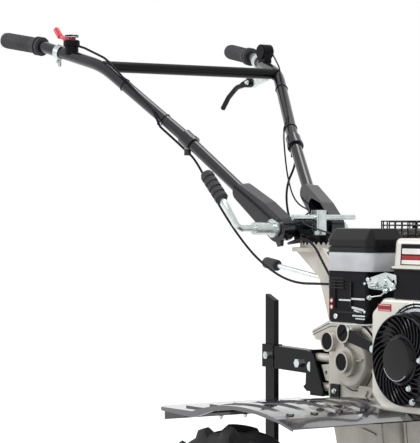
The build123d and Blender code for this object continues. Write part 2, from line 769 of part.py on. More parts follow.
with BuildPart() as clutch_lever:
    add(
        bent_tube(
            (
                clutch_pivot + Vector(-24, 0, -3),
                clutch_pivot + Vector(-62, 0, -8),
                clutch_pivot + Vector(-100, 2, -30),
                clutch_pivot + Vector(-128, 4, -56),
            ),
            [50, 40],
            12,
        )
    )
    with BuildSketch(side_view(clutch_pivot.Y + 5 + SEAT + 4)):
        with Locations((clutch_pivot.X, clutch_pivot.Z)):
            Circle(11)
        with Locations((clutch_pivot.X - 30, clutch_pivot.Z - 4)):
            Circle(6)
        make_hull()
    extrude(amount=2 * (9 + SEAT))
    with BuildSketch(side_view(clutch_pivot.Y + 5 + SEAT)):
        with Locations((clutch_pivot.X, clutch_pivot.Z)):
            Circle(21)
    extrude(amount=2 * (5 + SEAT), mode=Mode.SUBTRACT)
    with BuildSketch(side_view(clutch_pivot.Y + 12)):
        with Locations((clutch_pivot.X, clutch_pivot.Z)):
            Circle(PIVOT_PIN / 2 - RUNNING)
    extrude(amount=24)
save(clutch_lever.part, "clutch_lever")

# ---- cables -------------------------------------------------------------------------------
CARB_BACK = 322.0  # rear face of the carburettor cover
SHROUD_TOP = -122.0
# each runs whole: along the bar, down from its collar, and on from the steering head;
# the ones on the left are laid out on the right and mirrored
WIRE = 3.5
THROTTLE_SPLIT = at(10, -146, -46)
CLUTCH_SPLIT = at(-40, 34, -27)
WIRE_SPLIT = at(-24, 26, 32)
throttle_split_line = Vector(0.84, 0.0, -0.54).normalized()
clutch_split_line = Vector(0.35, -0.93, -0.05).normalized()
wire_split_line = Vector(0.6, -0.78, -0.1).normalized()
throttle_exit = throttle_seat - upper_line * 19.5 + Vector(0, 0, 12)
corner_line = (upper_line + middle_line).normalized()
wire_collar = beside(bar_route[1], middle_line, 8, -22)

throttle_on_bar = bent_tube(
    (
        throttle_exit,
        throttle_exit - upper_line * 22,
        beside(bar_route[2], corner_line, 19, 3),
        beside(bar_route[1] + middle_line * 90, middle_line, 6, 20),
        beside(bar_route[1] + middle_line * 56, middle_line, -14, 15),
        clip_in,
        clip_out,
    ),
    [20, 60, 30, 20, 20],
    CABLE,
)
clutch_on_bar = bent_tube(
    (
        at(-532, -276, 356),
        at(-512, -274, 354),
        beside(bar_route[2] + upper_line * 20, upper_line, -19, 8),
        beside(bar_route[2] - middle_line * 20, middle_line, -19, 10),
        beside(bar_route[1] + middle_line * 60, middle_line, -21, 0),
        clip_in,
        clip_out,
    ),
    [20, 40, 40, 20, 20],
    CABLE,
)
wire_on_bar = bent_tube(
    (
        Vector(switch_seat.X + 18.5, -switch_seat.Y, switch_seat.Z + 10),
        Vector(switch_seat.X + 34, -switch_seat.Y + 2, switch_seat.Z + 8),
        beside(bar_route[2], corner_line, 19, 0),
        beside(bar_route[1] + middle_line * 70, middle_line, 17, -4),
        beside(bar_route[1] + middle_line * 24, middle_line, 12, -19),
        wire_collar,
    ),
    [12, 60, 30, 8],
    WIRE,
)
save(Compound([throttle_on_bar, mirrored(clutch_on_bar), mirrored(wire_on_bar)]), "bar_cables")

throttle_drop = bent_tube(
    (
        clip_out,
        clip_out + lower_line * 20,
        at(-112, -146, 52),
        THROTTLE_SPLIT - throttle_split_line * 44,
        THROTTLE_SPLIT,
    ),
    [60, 160, 120],
    CABLE,
)
left_clip_out = Vector(clip_out.X, -clip_out.Y, clip_out.Z)
left_lower = Vector(lower_line.X, -lower_line.Y, lower_line.Z)
clutch_drop = bent_tube(
    (
        left_clip_out,
        left_clip_out + left_lower * 20,
        at(-226, 108, 84),
        at(-176, 84, 6),
        at(-86, 66, -26),
        CLUTCH_SPLIT - clutch_split_line * 16,
        CLUTCH_SPLIT,
    ),
    [30, 80, 60, 30, 12],
    CABLE,
)
left_wire_collar = Vector(wire_collar.X, -wire_collar.Y, wire_collar.Z)
wire_line = wire_collar - beside(bar_route[1] + middle_line * 24, middle_line, 12, -19)
left_wire_line = Vector(wire_line.X, -wire_line.Y, wire_line.Z).normalized()
wire_drop = bent_tube(
    (
        left_wire_collar,
        left_wire_collar + left_wire_line * 14,
        at(-196, 92, 110),
        at(-118, 56, 52),
        WIRE_SPLIT - wire_split_line * 18,
        WIRE_SPLIT,
    ),
    [12, 60, 40, 16],
    WIRE,
)
save(Compound([throttle_drop, clutch_drop, wire_drop]), "drop_cables")

throttle_tail = bent_tube(
    (
        THROTTLE_SPLIT,
        THROTTLE_SPLIT + throttle_split_line * 46,
        at(150, -148, -106),
        at(264, -150, -104),
        at(CARB_BACK - 2 * SEAT, -150, -104),
    ),
    [110, 160, 160],
    CABLE,
)
clutch_tail = bent_tube(
    (
        CLUTCH_SPLIT,
        CLUTCH_SPLIT + clutch_split_line * 46,
        at(2, -58, -33),
        at(92, -60, -14),
        at(152, -62, -84),
        at(246, -74, -164),
        at(311.5, -ARM_INNER_Y - 3.5, -202),
        at(316, -ARM_INNER_Y - 3.5, -216.1),
    ),
    [24, 22, 40, 80, 60, 8],
    CABLE,
)
wire_tail = bent_tube(
    (
        WIRE_SPLIT,
        WIRE_SPLIT + wire_split_line * 36,
        at(42, -46, 9),
        at(196, -86, -9),
        at(300, -99, -26),
        at(470, -99, -44),
        at(494, -122, -84),
        at(494, -122, SHROUD_TOP + SEAT),
    ),
    [20, 40, 120, 80, 20, 20],
    WIRE,
)
save(Compound([throttle_tail, clutch_tail, wire_tail]), "tail_cables")

# ---- hitch and depth stake ----------------------------------------------------------------
STAKE_X = -122.0
STAKE_LONG = 31.0
STAKE_THICK = 12.0
STAKE_TOP = -139.0
HOLDER_LONG = 42.0
HOLDER_WIDE = 22.0
ARM_THICK = 24.0
ARM_END = STAKE_X + HOLDER_LONG / 2
HITCH_PLATE = 6.0
HITCH_CHEEK = 6.0
HITCH_PLATE_HALF = 52.0
HITCH_GUSSET = 5.0
HITCH_CHEEK_Y = 28.0  # outer face of the side plates
HITCH_PIN = 12.0
HITCH_PIN_POINT = flat(60, -279)
ARM_BOLT = 10.0
ARM_BOLT_POINT = flat(-8, -277)
SPARE_HOLE = 6.5  # radius of the spare hole for another implement's pin
SPARE_HOLE_POINT = flat(66, -313)
FOOT_HOLE = 4.5
FOOT_HOLE_ZS = (-HUB_HEIGHT + 50, -HUB_HEIGHT + 100)
hitch_stud_places = [(y, HUB_HEIGHT + z) for y in (-HITCH_STUD_Y, HITCH_STUD_Y) for z in HITCH_STUD_ZS]
plate_back = HITCH_PLATE_FRONT - HITCH_PLATE

with BuildPart() as hitch_bracket:
    with BuildSketch(side_view(HITCH_PLATE_HALF)):
        Polygon(
            *outline(
                (plate_back, -243),
                (HITCH_PLATE_FRONT, -243),
                (HITCH_PLATE_FRONT, -328),
                (118, -328),
                (118, -334),
                (plate_back, -334),
            ),
            align=None,
        )
    extrude(amount=2 * HITCH_PLATE_HALF)
    # gussets beside the studs
    for inner in (HITCH_PLATE_HALF, HITCH_GUSSET - HITCH_PLATE_HALF):
        with BuildSketch(side_view(inner)):
            Polygon(
                *outline((plate_back, -250), (92, -250), (124, -322), (124, -334), (plate_back, -334)),
                align=None,
            )
        extrude(amount=HITCH_GUSSET)
    for inner in (HITCH_CHEEK_Y, HITCH_CHEEK - HITCH_CHEEK_Y):
        with BuildSketch(side_view(inner)):
            Polygon(
                *outline(
                    (38, -249),
                    (plate_back, -249),
                    (plate_back, -330),
                    (38, -330),
                    (26, -322),
                    (34, -316),
                ),
                align=None,
            )
            with Locations(HITCH_PIN_POINT):
                Circle(HITCH_PIN / 2 + RUNNING, mode=Mode.SUBTRACT)
            with Locations(SPARE_HOLE_POINT):
                Circle(SPARE_HOLE, mode=Mode.SUBTRACT)
        extrude(amount=HITCH_CHEEK)
    with BuildSketch(Plane.YZ.offset(HUB_X + HITCH_PLATE_FRONT)):
        with Locations(*hitch_stud_places):
            Circle(4.5)
    extrude(amount=-HITCH_PLATE, mode=Mode.SUBTRACT)
save(hitch_bracket.part, "hitch_bracket")

with BuildPart() as hitch_arm:
    with BuildSketch(side_view(ARM_THICK / 2)):
        Polygon(
            *outline(
                (ARM_END - 1, -246),
                (plate_back - SEAT, -251),
                (plate_back - SEAT, -298),
                (ARM_END - 1, -293),
            ),
            align=None,
        )
        with Locations(HITCH_PIN_POINT):
            Circle(HITCH_PIN / 2 + RUNNING, mode=Mode.SUBTRACT)
        with Locations(ARM_BOLT_POINT):
            Circle(ARM_BOLT / 2 + RUNNING, mode=Mode.SUBTRACT)
    extrude(amount=ARM_THICK)
    # box that the stake slides in, welded to the arm
    with BuildSketch(plan_view(-292)):
        with Locations((HUB_X + STAKE_X, 0)):
            Rectangle(HOLDER_LONG, HOLDER_WIDE)
    extrude(amount=48)
    with BuildSketch(plan_view(-300)):
        with Locations((HUB_X + STAKE_X, 0)):
            Rectangle(STAKE_LONG + 2 * SEAT, STAKE_THICK + 2 * SEAT)
    extrude(amount=60, mode=Mode.SUBTRACT)
    with BuildSketch(side_view(0)):
        with Locations(flat(STAKE_X, -267)):
            Circle(4 + RUNNING)
    extrude(amount=HOLDER_WIDE, mode=Mode.SUBTRACT)
save(hitch_arm.part, "hitch_arm")

with BuildPart() as depth_stake:
    with BuildSketch(side_view(STAKE_THICK / 2)):
        Polygon(
            *outline(
                (STAKE_X - STAKE_LONG / 2, STAKE_TOP),
                (STAKE_X + STAKE_LONG / 2, STAKE_TOP - 13),
                (STAKE_X + STAKE_LONG / 2, -HUB_HEIGHT),
                (STAKE_X - STAKE_LONG / 2 + 9, -HUB_HEIGHT),
                (STAKE_X - STAKE_LONG / 2, -HUB_HEIGHT + 28),
            ),
            align=None,
        )
        for z in FOOT_HOLE_ZS:
            with Locations(flat(STAKE_X, z)):
                Circle(FOOT_HOLE, mode=Mode.SUBTRACT)
    extrude(amount=STAKE_THICK)
save(depth_stake.part, "depth_stake")

cheek_inner = HITCH_CHEEK_Y - HITCH_CHEEK
with BuildPart() as hitch_pin:
    with BuildSketch(side_view(HITCH_CHEEK_Y + 14)):
        with Locations(HITCH_PIN_POINT):
            Circle(HITCH_PIN / 2)
    extrude(amount=2 * HITCH_CHEEK_Y + 22)
    with BuildSketch(side_view(-HITCH_CHEEK_Y - SEAT)):
        with Locations(HITCH_PIN_POINT):
            Circle(10)
    extrude(amount=8)
    for inner in (cheek_inner - SEAT, -ARM_THICK / 2 - SEAT):
        with BuildSketch(side_view(inner)):
            with Locations(HITCH_PIN_POINT):
                Circle(11)
        extrude(amount=cheek_inner - ARM_THICK / 2 - 2 * SEAT)
with BuildPart() as arm_bolt:
    with BuildSketch(side_view(ARM_THICK / 2 + 9)):
        with Locations(ARM_BOLT_POINT):
            Circle(ARM_BOLT / 2)
    extrude(amount=ARM_THICK + 14)
    for inner in (ARM_THICK / 2 + SEAT + 8, -ARM_THICK / 2 - SEAT):
        with BuildSketch(side_view(inner)):
            with Locations(ARM_BOLT_POINT):
                RegularPolygon(9.5, 6)
        extrude(amount=8)
with BuildPart() as stake_bolt:
    with BuildSketch(side_view(-STAKE_THICK / 2 - 2 * SEAT)):
        with Locations(flat(STAKE_X, -267)):
            Circle(4)
    extrude(amount=HOLDER_WIDE / 2 - STAKE_THICK / 2 + 8)
    with BuildSketch(side_view(-HOLDER_WIDE / 2 - SEAT)):
        with Locations(flat(STAKE_X, -267)):
            RegularPolygon(8.5, 6)
    extrude(amount=7)
with BuildPart() as plate_bolt:
    with BuildSketch(Plane.YZ.offset(HUB_X + plate_back - SEAT)):
        Circle(4.2)
    extrude(amount=28)
    with BuildSketch(Plane.YZ.offset(HUB_X + plate_back - SEAT)):
        RegularPolygon(8, 6)
    extrude(amount=-6)
plate_bolts = [Pos(0, y, z) * plate_bolt.part for y, z in hitch_stud_places]
save(Compound([hitch_pin.part, arm_bolt.part, stake_bolt.part, *plate_bolts]), "hitch_pins")

# ---- fenders ------------------------------------------------------------------------------
FENDER_SHEET = 2.2
FENDER_SKIRT = 27.0
FENDER_INNER = 54.0
FENDER_OUTER = 400.0
FENDER_FRONT = 500.0
RIB_RISE = 3.0
# the arc over the wheel is drawn in four runs, to the nearest 0.001, so that none of its faces is long
with BuildLine() as fender_arc:
    ThreePointArc((182, -340), (318, -320), (455, -333.5))
arc_points = [fender_arc.edge() @ (step / 8) for step in range(9)]
arc_places = [(round(point.X, 3), round(point.Y, 3)) for point in arc_points]
fender_line = ((51, -340), *arc_places, (FENDER_FRONT, -346))
fender_rib_rows = (
    # rear end, front end, from the middle plane
    (100, 440, 134),
    (100, 440, 190),
    (100, 440, 246),
    (100, 440, 302),
    (100, 440, 356),
)


def pressed(raised, depth):
    """Sheet of the given depth that follows the fender's line, raised above it."""
    over = [flat(x, z + raised) for x, z in fender_line]
    under = [flat(x, z + raised - depth) for x, z in fender_line]
    with BuildPart() as sheet:
        with BuildSketch(side_view(-FENDER_INNER)):
            with BuildLine():
                Line(over[0], over[1])
                for start in (1, 3, 5, 7):
                    ThreePointArc(*over[start : start + 3])
                    ThreePointArc(*under[start : start + 3])
                Polyline(over[9], over[10], under[10], under[9])
                Polyline(under[1], under[0], over[0])
            make_face()
        extrude(amount=FENDER_OUTER - FENDER_INNER)
    return sheet.part


def rib_slots(shrink):
    """Upright prisms that cut the fender's ribs out of a raised sheet."""
    with BuildPart() as slots:
        for back, front, y in fender_rib_rows:
            with BuildSketch(plan_view(-360)):
                with Locations((HUB_X + (back + front) / 2, -y)):
                    RectangleRounded(front - back - shrink, 16 - shrink, 8 - shrink / 2 - 0.5)
            extrude(amount=60)
    return slots.part


with BuildPart() as fender:
    add(pressed(0, FENDER_SHEET))
    add(pressed(RIB_RISE, FENDER_SHEET + RIB_RISE) & rib_slots(0))
    add(pressed(RIB_RISE - FENDER_SHEET, FENDER_SHEET + RIB_RISE) & rib_slots(4), mode=Mode.SUBTRACT)
    # skirt behind the wheel, and the lip along the outer edge
    with BuildSketch(side_view(-FENDER_INNER)):
        Polygon(
            *outline(
                (51, -340),
                (51 + FENDER_SHEET, -340),
                (51 + FENDER_SHEET, -340 - FENDER_SKIRT),
                (51, -340 - FENDER_SKIRT),
            ),
            align=None,
        )
    extrude(amount=378 - FENDER_INNER)
    with BuildSketch(side_view(-FENDER_OUTER + FENDER_SHEET)):
        with BuildLine():
            Line(flat(73, -340), flat(182, -340))
            for start in (0, 2, 4, 6):
                ThreePointArc(*outline(*arc_places[start : start + 3]))
            Polyline(
                *outline(
                    arc_places[8],
                    (FENDER_FRONT, -346),
                    (FENDER_FRONT, -351),
                    (455, -339),
                    (390, -329.5),
                    (318, -327),
                    (250, -335),
                    (205, -347),
                    (176, -352),
                    (73, -347),
                    (73, -340),
                )
            )
        make_face()
    extrude(amount=FENDER_SHEET)
    with BuildSketch(plan_view(-340)):
        Polygon(
            (HUB_X + 51, -378),
            (HUB_X + 73, -FENDER_OUTER),
            (HUB_X + 73, -FENDER_OUTER + FENDER_SHEET + 1),
            (HUB_X + 51 + FENDER_SHEET + 1, -378),
            align=None,
        )
    extrude(amount=-7)
    # rear corner and the inner edge that spreads towards the engine
    with BuildSketch(Plane.XY):
        Polygon((HUB_X + 51, -378), (HUB_X + 73, -FENDER_OUTER), (HUB_X + 50, -FENDER_OUTER), align=None)
        Polygon(
            (HUB_X + 50, -53),
            (HUB_X + 51 + FENDER_SHEET, -FENDER_INNER),
            (HUB_X + FENDER_FRONT + 1, -107),
            (HUB_X + FENDER_FRONT + 1, -53),
            align=None,
        )
    extrude(amount=HUB_HEIGHT, mode=Mode.SUBTRACT)
save(fender.part, "fender_right")
save(mirrored(fender.part), "fender_left")

STAY_FRONT_TOP = -321.7 - FENDER_SHEET - SEAT
stay_rows = (
    # forward, seat on the gearbox from the middle plane, top of the stay, top and bottom of its tab
    (166, CASE_HALF_WIDTH + SEAT, -340 - FENDER_SHEET - SEAT, -306, -346),
    (300, 64 + SEAT, STAY_FRONT_TOP, STAY_FRONT_TOP, -343),
)
with BuildPart() as fender_stays:
    for x, tab_y, top, tab_top, tab_bottom in stay_rows:
        with BuildSketch(plan_view(top)):
            with Locations((HUB_X + x, -(tab_y + 392) / 2)):
                Rectangle(28, 392 - tab_y)
        extrude(amount=-4)
        with BuildSketch(side_view(-tab_y)):
            Polygon(
                *outline((x - 14, tab_top), (x + 14, tab_top), (x + 14, tab_bottom), (x - 14, tab_bottom)),
                align=None,
            )
        extrude(amount=4)
save(both_sides(fender_stays.part), "fender_brackets")

# ---- engine bed, bumper and parking stand -------------------------------------------------
BED_HALF_WIDTH = 56.0
BED_SHEET = 6.0
BED_BOTTOM = -352.0
BUMPER_TUBE = 25.0
BUMPER_X = FRONT_REACH - BUMPER_TUBE / 2
RAIL_TUBE = 22.0
BUMPER_LOW = BED_BOTTOM - RAIL_TUBE / 2 - SEAT
BUMPER_HIGH = -110.0
BUMPER_HALF_WIDTH = 130.0
RAIL_Y = 40.0
STAND_PIN = 16.0
STAND_POINT = (700, -392)
STAND_HALF_WIDTH = 100.0
bed_back = FOOT_BOTTOM - SEAT
with BuildPart() as engine_bed:
    with BuildSketch(side_view(BED_HALF_WIDTH)):
        Polygon(
            *outline(
                (345 + SEAT, -ENGINE_BASE_DROP),
                (700, -ENGINE_BASE_DROP),
                (700, BED_BOTTOM),
                (324, BED_BOTTOM),
                (324, bed_back),
                (345 + SEAT, bed_back),
            ),
            align=None,
        )
    extrude(amount=2 * BED_HALF_WIDTH)
    for start, end in ((356, 500), (530, 690)):
        with BuildSketch(side_view(BED_HALF_WIDTH - BED_SHEET)):
            Polygon(
                *outline(
                    (start, -ENGINE_BASE_DROP - BED_SHEET),
                    (end, -ENGINE_BASE_DROP - BED_SHEET),
                    (end, BED_BOTTOM),
                    (start, BED_BOTTOM),
                ),
                align=None,
            )
        extrude(amount=2 * (BED_HALF_WIDTH - BED_SHEET), mode=Mode.SUBTRACT)
save(engine_bed.part, "engine_bed")

with BuildPart() as bumper:
    add(
        bent_tube(
            (
                at(BUMPER_X, BUMPER_HALF_WIDTH, BUMPER_LOW),
                at(BUMPER_X, BUMPER_HALF_WIDTH, BUMPER_HIGH),
                at(BUMPER_X, -BUMPER_HALF_WIDTH, BUMPER_HIGH),
                at(BUMPER_X, -BUMPER_HALF_WIDTH, BUMPER_LOW),
            ),
            45,
            BUMPER_TUBE,
            closed=True,
        )
    )
    for y in (-RAIL_Y, RAIL_Y):
        add(rod(at(440, y, BUMPER_LOW), at(BUMPER_X, y, BUMPER_LOW), RAIL_TUBE))
        with BuildSketch(side_view(y + 4)):
            Polygon(*outline((674, BUMPER_LOW), (726, BUMPER_LOW), (714, -408), (686, -408)), align=None)
        extrude(amount=8)
    with BuildSketch(side_view(RAIL_Y + 10)):
        with Locations(flat(*STAND_POINT)):
            Circle(STAND_PIN / 2 + RUNNING)
    extrude(amount=2 * RAIL_Y + 20, mode=Mode.SUBTRACT)
save(bumper.part, "bumper")

stand_x, stand_z = STAND_POINT
with BuildPart() as parking_stand:
    add(
        rod(
            at(stand_x, -STAND_HALF_WIDTH - 8, stand_z),
            at(stand_x, STAND_HALF_WIDTH + 8, stand_z),
            STAND_PIN,
        )
    )
    add(rod(at(stand_x + 12, -STAND_HALF_WIDTH, -680), at(stand_x + 12, STAND_HALF_WIDTH, -680), 12))
    for y in (-STAND_HALF_WIDTH, STAND_HALF_WIDTH):
        add(rod(at(stand_x, y, stand_z), at(stand_x + 16, y, -HUB_HEIGHT + 3), STAND_PIN))
        with BuildSketch(Plane.XY):
            with Locations((HUB_X + stand_x + 18, y)):
                RectangleRounded(56, 44, 8)
        extrude(amount=5)
save(parking_stand.part, "parking_stand")

# ---- engine -------------------------------------------------------------------------------
CRANK = flat(CRANK_AHEAD, -CRANK_DROP)
CRANKCASE_RADIUS = 88.0
BLOCK_LEFT = 66.0
BLOCK_RIGHT = -112.0
BARREL_LEFT = 35.0
BARREL_RIGHT = -85.0
CLUTCH_INNER_Y = 85.0
CLUTCH_OUTER_Y = 142.0
with BuildPart() as engine_block:
    with BuildSketch(side_view(BLOCK_LEFT)):
        with Locations(CRANK):
            Circle(CRANKCASE_RADIUS)
        Polygon(
            *outline(
                (478, -ENGINE_BASE_DROP + 14),
                (640, -ENGINE_BASE_DROP + 14),
                (636, -CRANK_DROP),
                (470, -CRANK_DROP),
            ),
            align=None,
        )
        Polygon(
            *outline(
                (462, -ENGINE_BASE_DROP + SEAT),
                (658, -ENGINE_BASE_DROP + SEAT),
                (658, -ENGINE_BASE_DROP + 14),
                (462, -ENGINE_BASE_DROP + 14),
            ),
            align=None,
        )
    extrude(amount=BLOCK_LEFT - BLOCK_RIGHT)
    with BuildSketch(side_view(CLUTCH_INNER_Y)):
        with Locations(CRANK):
            Circle(42)
    extrude(amount=30)
    # finned barrel and head, leaning back
    with BuildSketch(side_view(BARREL_LEFT)):
        Polygon(
            *outline((378, -182), (390, -112), (432, -112), (500, -150), (520, -240), (470, -246)),
            align=None,
        )
    extrude(amount=BARREL_LEFT - BARREL_RIGHT)
    fin_line = at(390, 0, -147) - at(500, 0, -205)
    for step in range(6):
        groove = at(474, BARREL_LEFT, -190) + fin_line.normalized() * 15 * step
        with BuildSketch(Plane(groove, x_dir=fin_line, z_dir=(0, -1, 0))):
            Rectangle(6, 110)
            Rectangle(6, 66, mode=Mode.SUBTRACT)
        extrude(amount=BARREL_LEFT - BARREL_RIGHT, mode=Mode.SUBTRACT)
save(engine_block.part, "engine_block")

with BuildPart() as clutch_housing:
    with BuildSketch(side_view(CLUTCH_OUTER_Y)):
        for place, radius in ((CRANK, 74.0), (flat(217, -225), 60.0)):
            with Locations(place):
                Circle(radius)
        make_hull()
    extrude(amount=CLUTCH_OUTER_Y - CLUTCH_INNER_Y - SEAT)
    fillet(clutch_housing.faces().sort_by(Axis.Y)[-1].edges(), 8)
    for place, radius in ((CRANK, 46.0), (flat(217, -225), 36.0)):
        with BuildSketch(side_view(CLUTCH_OUTER_Y)):
            with Locations(place):
                Circle(radius)
                Circle(radius - 6, mode=Mode.SUBTRACT)
        extrude(amount=4, mode=Mode.SUBTRACT)
save(clutch_housing.part, "clutch_housing")

SHROUD_BACK = 452.0
SHROUD_SIDE = 188.0
SHROUD_SHEET = 3.0
shroud_corners = (
    (SHROUD_BACK, -150),
    (SHROUD_BACK + 34, SHROUD_TOP),
    (628, SHROUD_TOP),
    (656, -150),
    (656, -300),
    (628, -326),
    (SHROUD_BACK + 30, -326),
    (SHROUD_BACK, -300),
)
with BuildPart() as fan_shroud:
    with BuildSketch(side_view(BLOCK_RIGHT - SEAT)):
        Polygon(*outline(*shroud_corners), align=None)
        fillet(vertices(), 14)
    extrude(amount=SHROUD_SIDE + BLOCK_RIGHT - SEAT)
    fillet(fan_shroud.faces().sort_by(Axis.Y)[0].edges(), 8)
    offset(amount=-SHROUD_SHEET, openings=fan_shroud.faces().sort_by(Axis.Y)[-1])
    with BuildSketch(side_view(BLOCK_RIGHT)):
        with Locations(CRANK):
            Circle(76)
    extrude(amount=SHROUD_SIDE, mode=Mode.SUBTRACT)
save(fan_shroud.part, "fan_shroud")

RECOIL_RADIUS = 85.0
with BuildPart() as recoil_cover:
    with BuildSketch(side_view(-SHROUD_SIDE - SEAT)):
        with Locations(CRANK):
            Circle(RECOIL_RADIUS)
    extrude(amount=15, taper=14)
    with BuildSketch(side_view(-SHROUD_SIDE - SEAT - 15)):
        with Locations(CRANK):
            Circle(41)
    extrude(amount=10, taper=15)
    fillet(recoil_cover.faces().sort_by(Axis.Y)[0].edges(), 4)
    # air slots around the cover
    with BuildSketch(side_view(-SHROUD_SIDE - 60)):
        with Locations(CRANK):
            with PolarLocations(60, 24):
                SlotOverall(26, 6)
    extrude(amount=-40, mode=Mode.SUBTRACT)
    with BuildSketch(side_view(-SHROUD_SIDE)):
        with Locations(CRANK):
            Circle(78)
    extrude(amount=12, mode=Mode.SUBTRACT)
save(recoil_cover.part, "recoil_cover")

TANK_X = 595.0
TANK_Y = -92.0
TANK_SEAM = -68.0
TANK_SIZE = 200.0
TANK_BOWL = 38.0  # depth of the lower half
TANK_TOP = -14.0
with BuildPart() as fuel_tank:
    with BuildSketch(plan_view(TANK_SEAM)):
        with Locations((HUB_X + TANK_X, TANK_Y)):
            RectangleRounded(TANK_SIZE, TANK_SIZE, 34)
    extrude(amount=4)
    with BuildSketch(plan_view(TANK_SEAM + 4)):
        with Locations((HUB_X + TANK_X, TANK_Y)):
            RectangleRounded(TANK_SIZE - 10, TANK_SIZE - 10, 30)
    extrude(amount=TANK_TOP - TANK_SEAM - 4, taper=4)
    fillet(fuel_tank.faces().sort_by(Axis.Z)[-1].edges(), 10)
    with BuildSketch(plan_view(TANK_SEAM)):
        with Locations((HUB_X + TANK_X, TANK_Y + 20)):
            RectangleRounded(TANK_SIZE - 14, 144, 26)
    extrude(amount=-TANK_BOWL, taper=10)
save(fuel_tank.part, "fuel_tank")

with BuildPart() as fuel_cap:
    with BuildSketch(plan_view(TANK_TOP + SEAT)):
        with Locations((HUB_X + TANK_X, TANK_Y)):
            Circle(30)
            with PolarLocations(30, 8):
                Circle(4)
    extrude(amount=12)
    with BuildSketch(plan_view(TANK_TOP + 12)):
        with Locations((HUB_X + TANK_X, TANK_Y)):
            Circle(24)
    extrude(amount=6, taper=20)
save(fuel_cap.part, "fuel_cap")

# cradle under the tank, standing on the crankcase
tank_bottom = TANK_SEAM - TANK_BOWL
CRADLE_SHEET = 4.0
with BuildPart() as tank_bracket:
    with BuildSketch(side_view(44)):
        Polygon(
            *outline(
                (512, tank_bottom - SEAT),
                (640, tank_bottom - SEAT),
                (620, -170),
                (520, -170),
            ),
            align=None,
        )
        with Locations(CRANK):
            Circle(CRANKCASE_RADIUS + SEAT, mode=Mode.SUBTRACT)
    extrude(amount=44 + 100)
    with BuildSketch(side_view(44 - CRADLE_SHEET)):
        Polygon(
            *outline(
                (440, tank_bottom - CRADLE_SHEET),
                (720, tank_bottom - CRADLE_SHEET),
                (720, -200),
                (440, -200),
            ),
            align=None,
        )
    extrude(amount=144 - 2 * CRADLE_SHEET, mode=Mode.SUBTRACT)
save(tank_bracket.part, "tank_bracket")

BOX_SIDE = 187.0
with BuildPart() as control_box:
    with BuildSketch(plan_view(SHROUD_TOP + SEAT)):
        with Locations((HUB_X + 567, -BOX_SIDE + 19)):
            RectangleRounded(106, 38, 5)
    extrude(amount=TANK_SEAM - SHROUD_TOP - 2 * SEAT)
save(control_box.part, "control_box")

BOWL_BOTTOM = -76.0
BOWL_TOP = -41.0
FILTER_X = 392.0
FILTER_Y = -152.0
CARB_INNER = -111.0
CARB_OUTER = -188.0
with BuildPart() as carburettor_cover:
    with BuildSketch(side_view(CARB_INNER)):
        Polygon(
            *outline(
                (CARB_BACK, BOWL_BOTTOM - SEAT),
                (441, BOWL_BOTTOM - SEAT),
                (441, -158),
                (428, -172),
                (CARB_BACK + 10, -172),
                (CARB_BACK, -162),
            ),
            align=None,
        )
    extrude(amount=CARB_INNER - CARB_OUTER)
    fillet(carburettor_cover.edges().filter_by(Axis.Z), 6)
    with BuildSketch(side_view(CARB_OUTER + 2)):
        with Locations(flat(384, -120)):
            Rectangle(78, 52)
    extrude(amount=4, mode=Mode.SUBTRACT)
save(carburettor_cover.part, "carburettor_cover")

with BuildPart() as carburettor:
    with BuildSketch(side_view(BARREL_RIGHT - SEAT)):
        with Locations(flat(418, -148)):
            Rectangle(44, 40)
    extrude(amount=BARREL_RIGHT - CARB_INNER - 2 * SEAT)
    # float bowl
    with BuildSketch(plan_view(-196)):
        with Locations((HUB_X + 418, (BARREL_RIGHT + CARB_INNER) / 2)):
            Circle(11)
    extrude(amount=40)
save(carburettor.part, "carburettor")

LINK_SHEET = 2.5
with BuildPart() as throttle_linkage:
    with BuildSketch(side_view(-BOX_SIDE - SEAT)):
        Polygon(
            *outline(
                (446, -88),
                (470, -82),
                (496, -76),
                (528, -80),
                (528, -104),
                (508, -110),
                (480, -104),
                (446, -106),
            ),
            align=None,
        )
        fillet(vertices(), 4)
        with Locations(flat(458, -97), flat(520, -92)):
            Circle(3.5, mode=Mode.SUBTRACT)
    extrude(amount=LINK_SHEET)
    with BuildSketch(side_view(-BOX_SIDE - SEAT - LINK_SHEET)):
        with Locations(flat(494, -93)):
            Circle(8)
    extrude(amount=5)
    add(
        bent_tube(
            (at(472, -192, -98), at(456, -192, -102), at(450, -178, -104), at(441 + 2 * SEAT, -178, -104)),
            [4, 4],
            4,
        )
    )
    add(rod(at(472, -188.3, -98), at(472, -195, -98), 7))
save(throttle_linkage.part, "throttle_linkage")

with BuildPart() as air_filter_bowl:
    with BuildSketch(plan_view(BOWL_BOTTOM)):
        with Locations((HUB_X + FILTER_X, FILTER_Y)):
            RectangleRounded(130, 82, 15)
    extrude(amount=BOWL_TOP - BOWL_BOTTOM, taper=-3)
    with BuildSketch(plan_view(BOWL_BOTTOM + 12)):
        with Locations((HUB_X + FILTER_X, FILTER_Y)):
            RectangleRounded(136, 88, 16)
    extrude(amount=5)
save(air_filter_bowl.part, "air_filter_bowl")

with BuildPart() as air_filter_cover:
    with BuildSketch(plan_view(BOWL_TOP + SEAT)):
        with Locations((HUB_X + FILTER_X, FILTER_Y)):
            RectangleRounded(136, 88, 16)
    extrude(amount=8)
    with BuildSketch(plan_view(BOWL_TOP + 8)):
        with Locations((HUB_X + FILTER_X, FILTER_Y)):
            RectangleRounded(128, 80, 13)
    extrude(amount=4)
    with BuildSketch(plan_view(BOWL_TOP + 12)):
        with Locations((HUB_X + FILTER_X, FILTER_Y)):
            RectangleRounded(136, 88, 16)
    extrude(amount=12)
    with BuildSketch(plan_view(BOWL_TOP + 24)):
        with Locations((HUB_X + FILTER_X, FILTER_Y)):
            RectangleRounded(136, 88, 16)
    extrude(amount=20, taper=35)
    fillet(air_filter_cover.faces().sort_by(Axis.Z)[-1].edges(), 4)
save(air_filter_cover.part, "air_filter_cover")

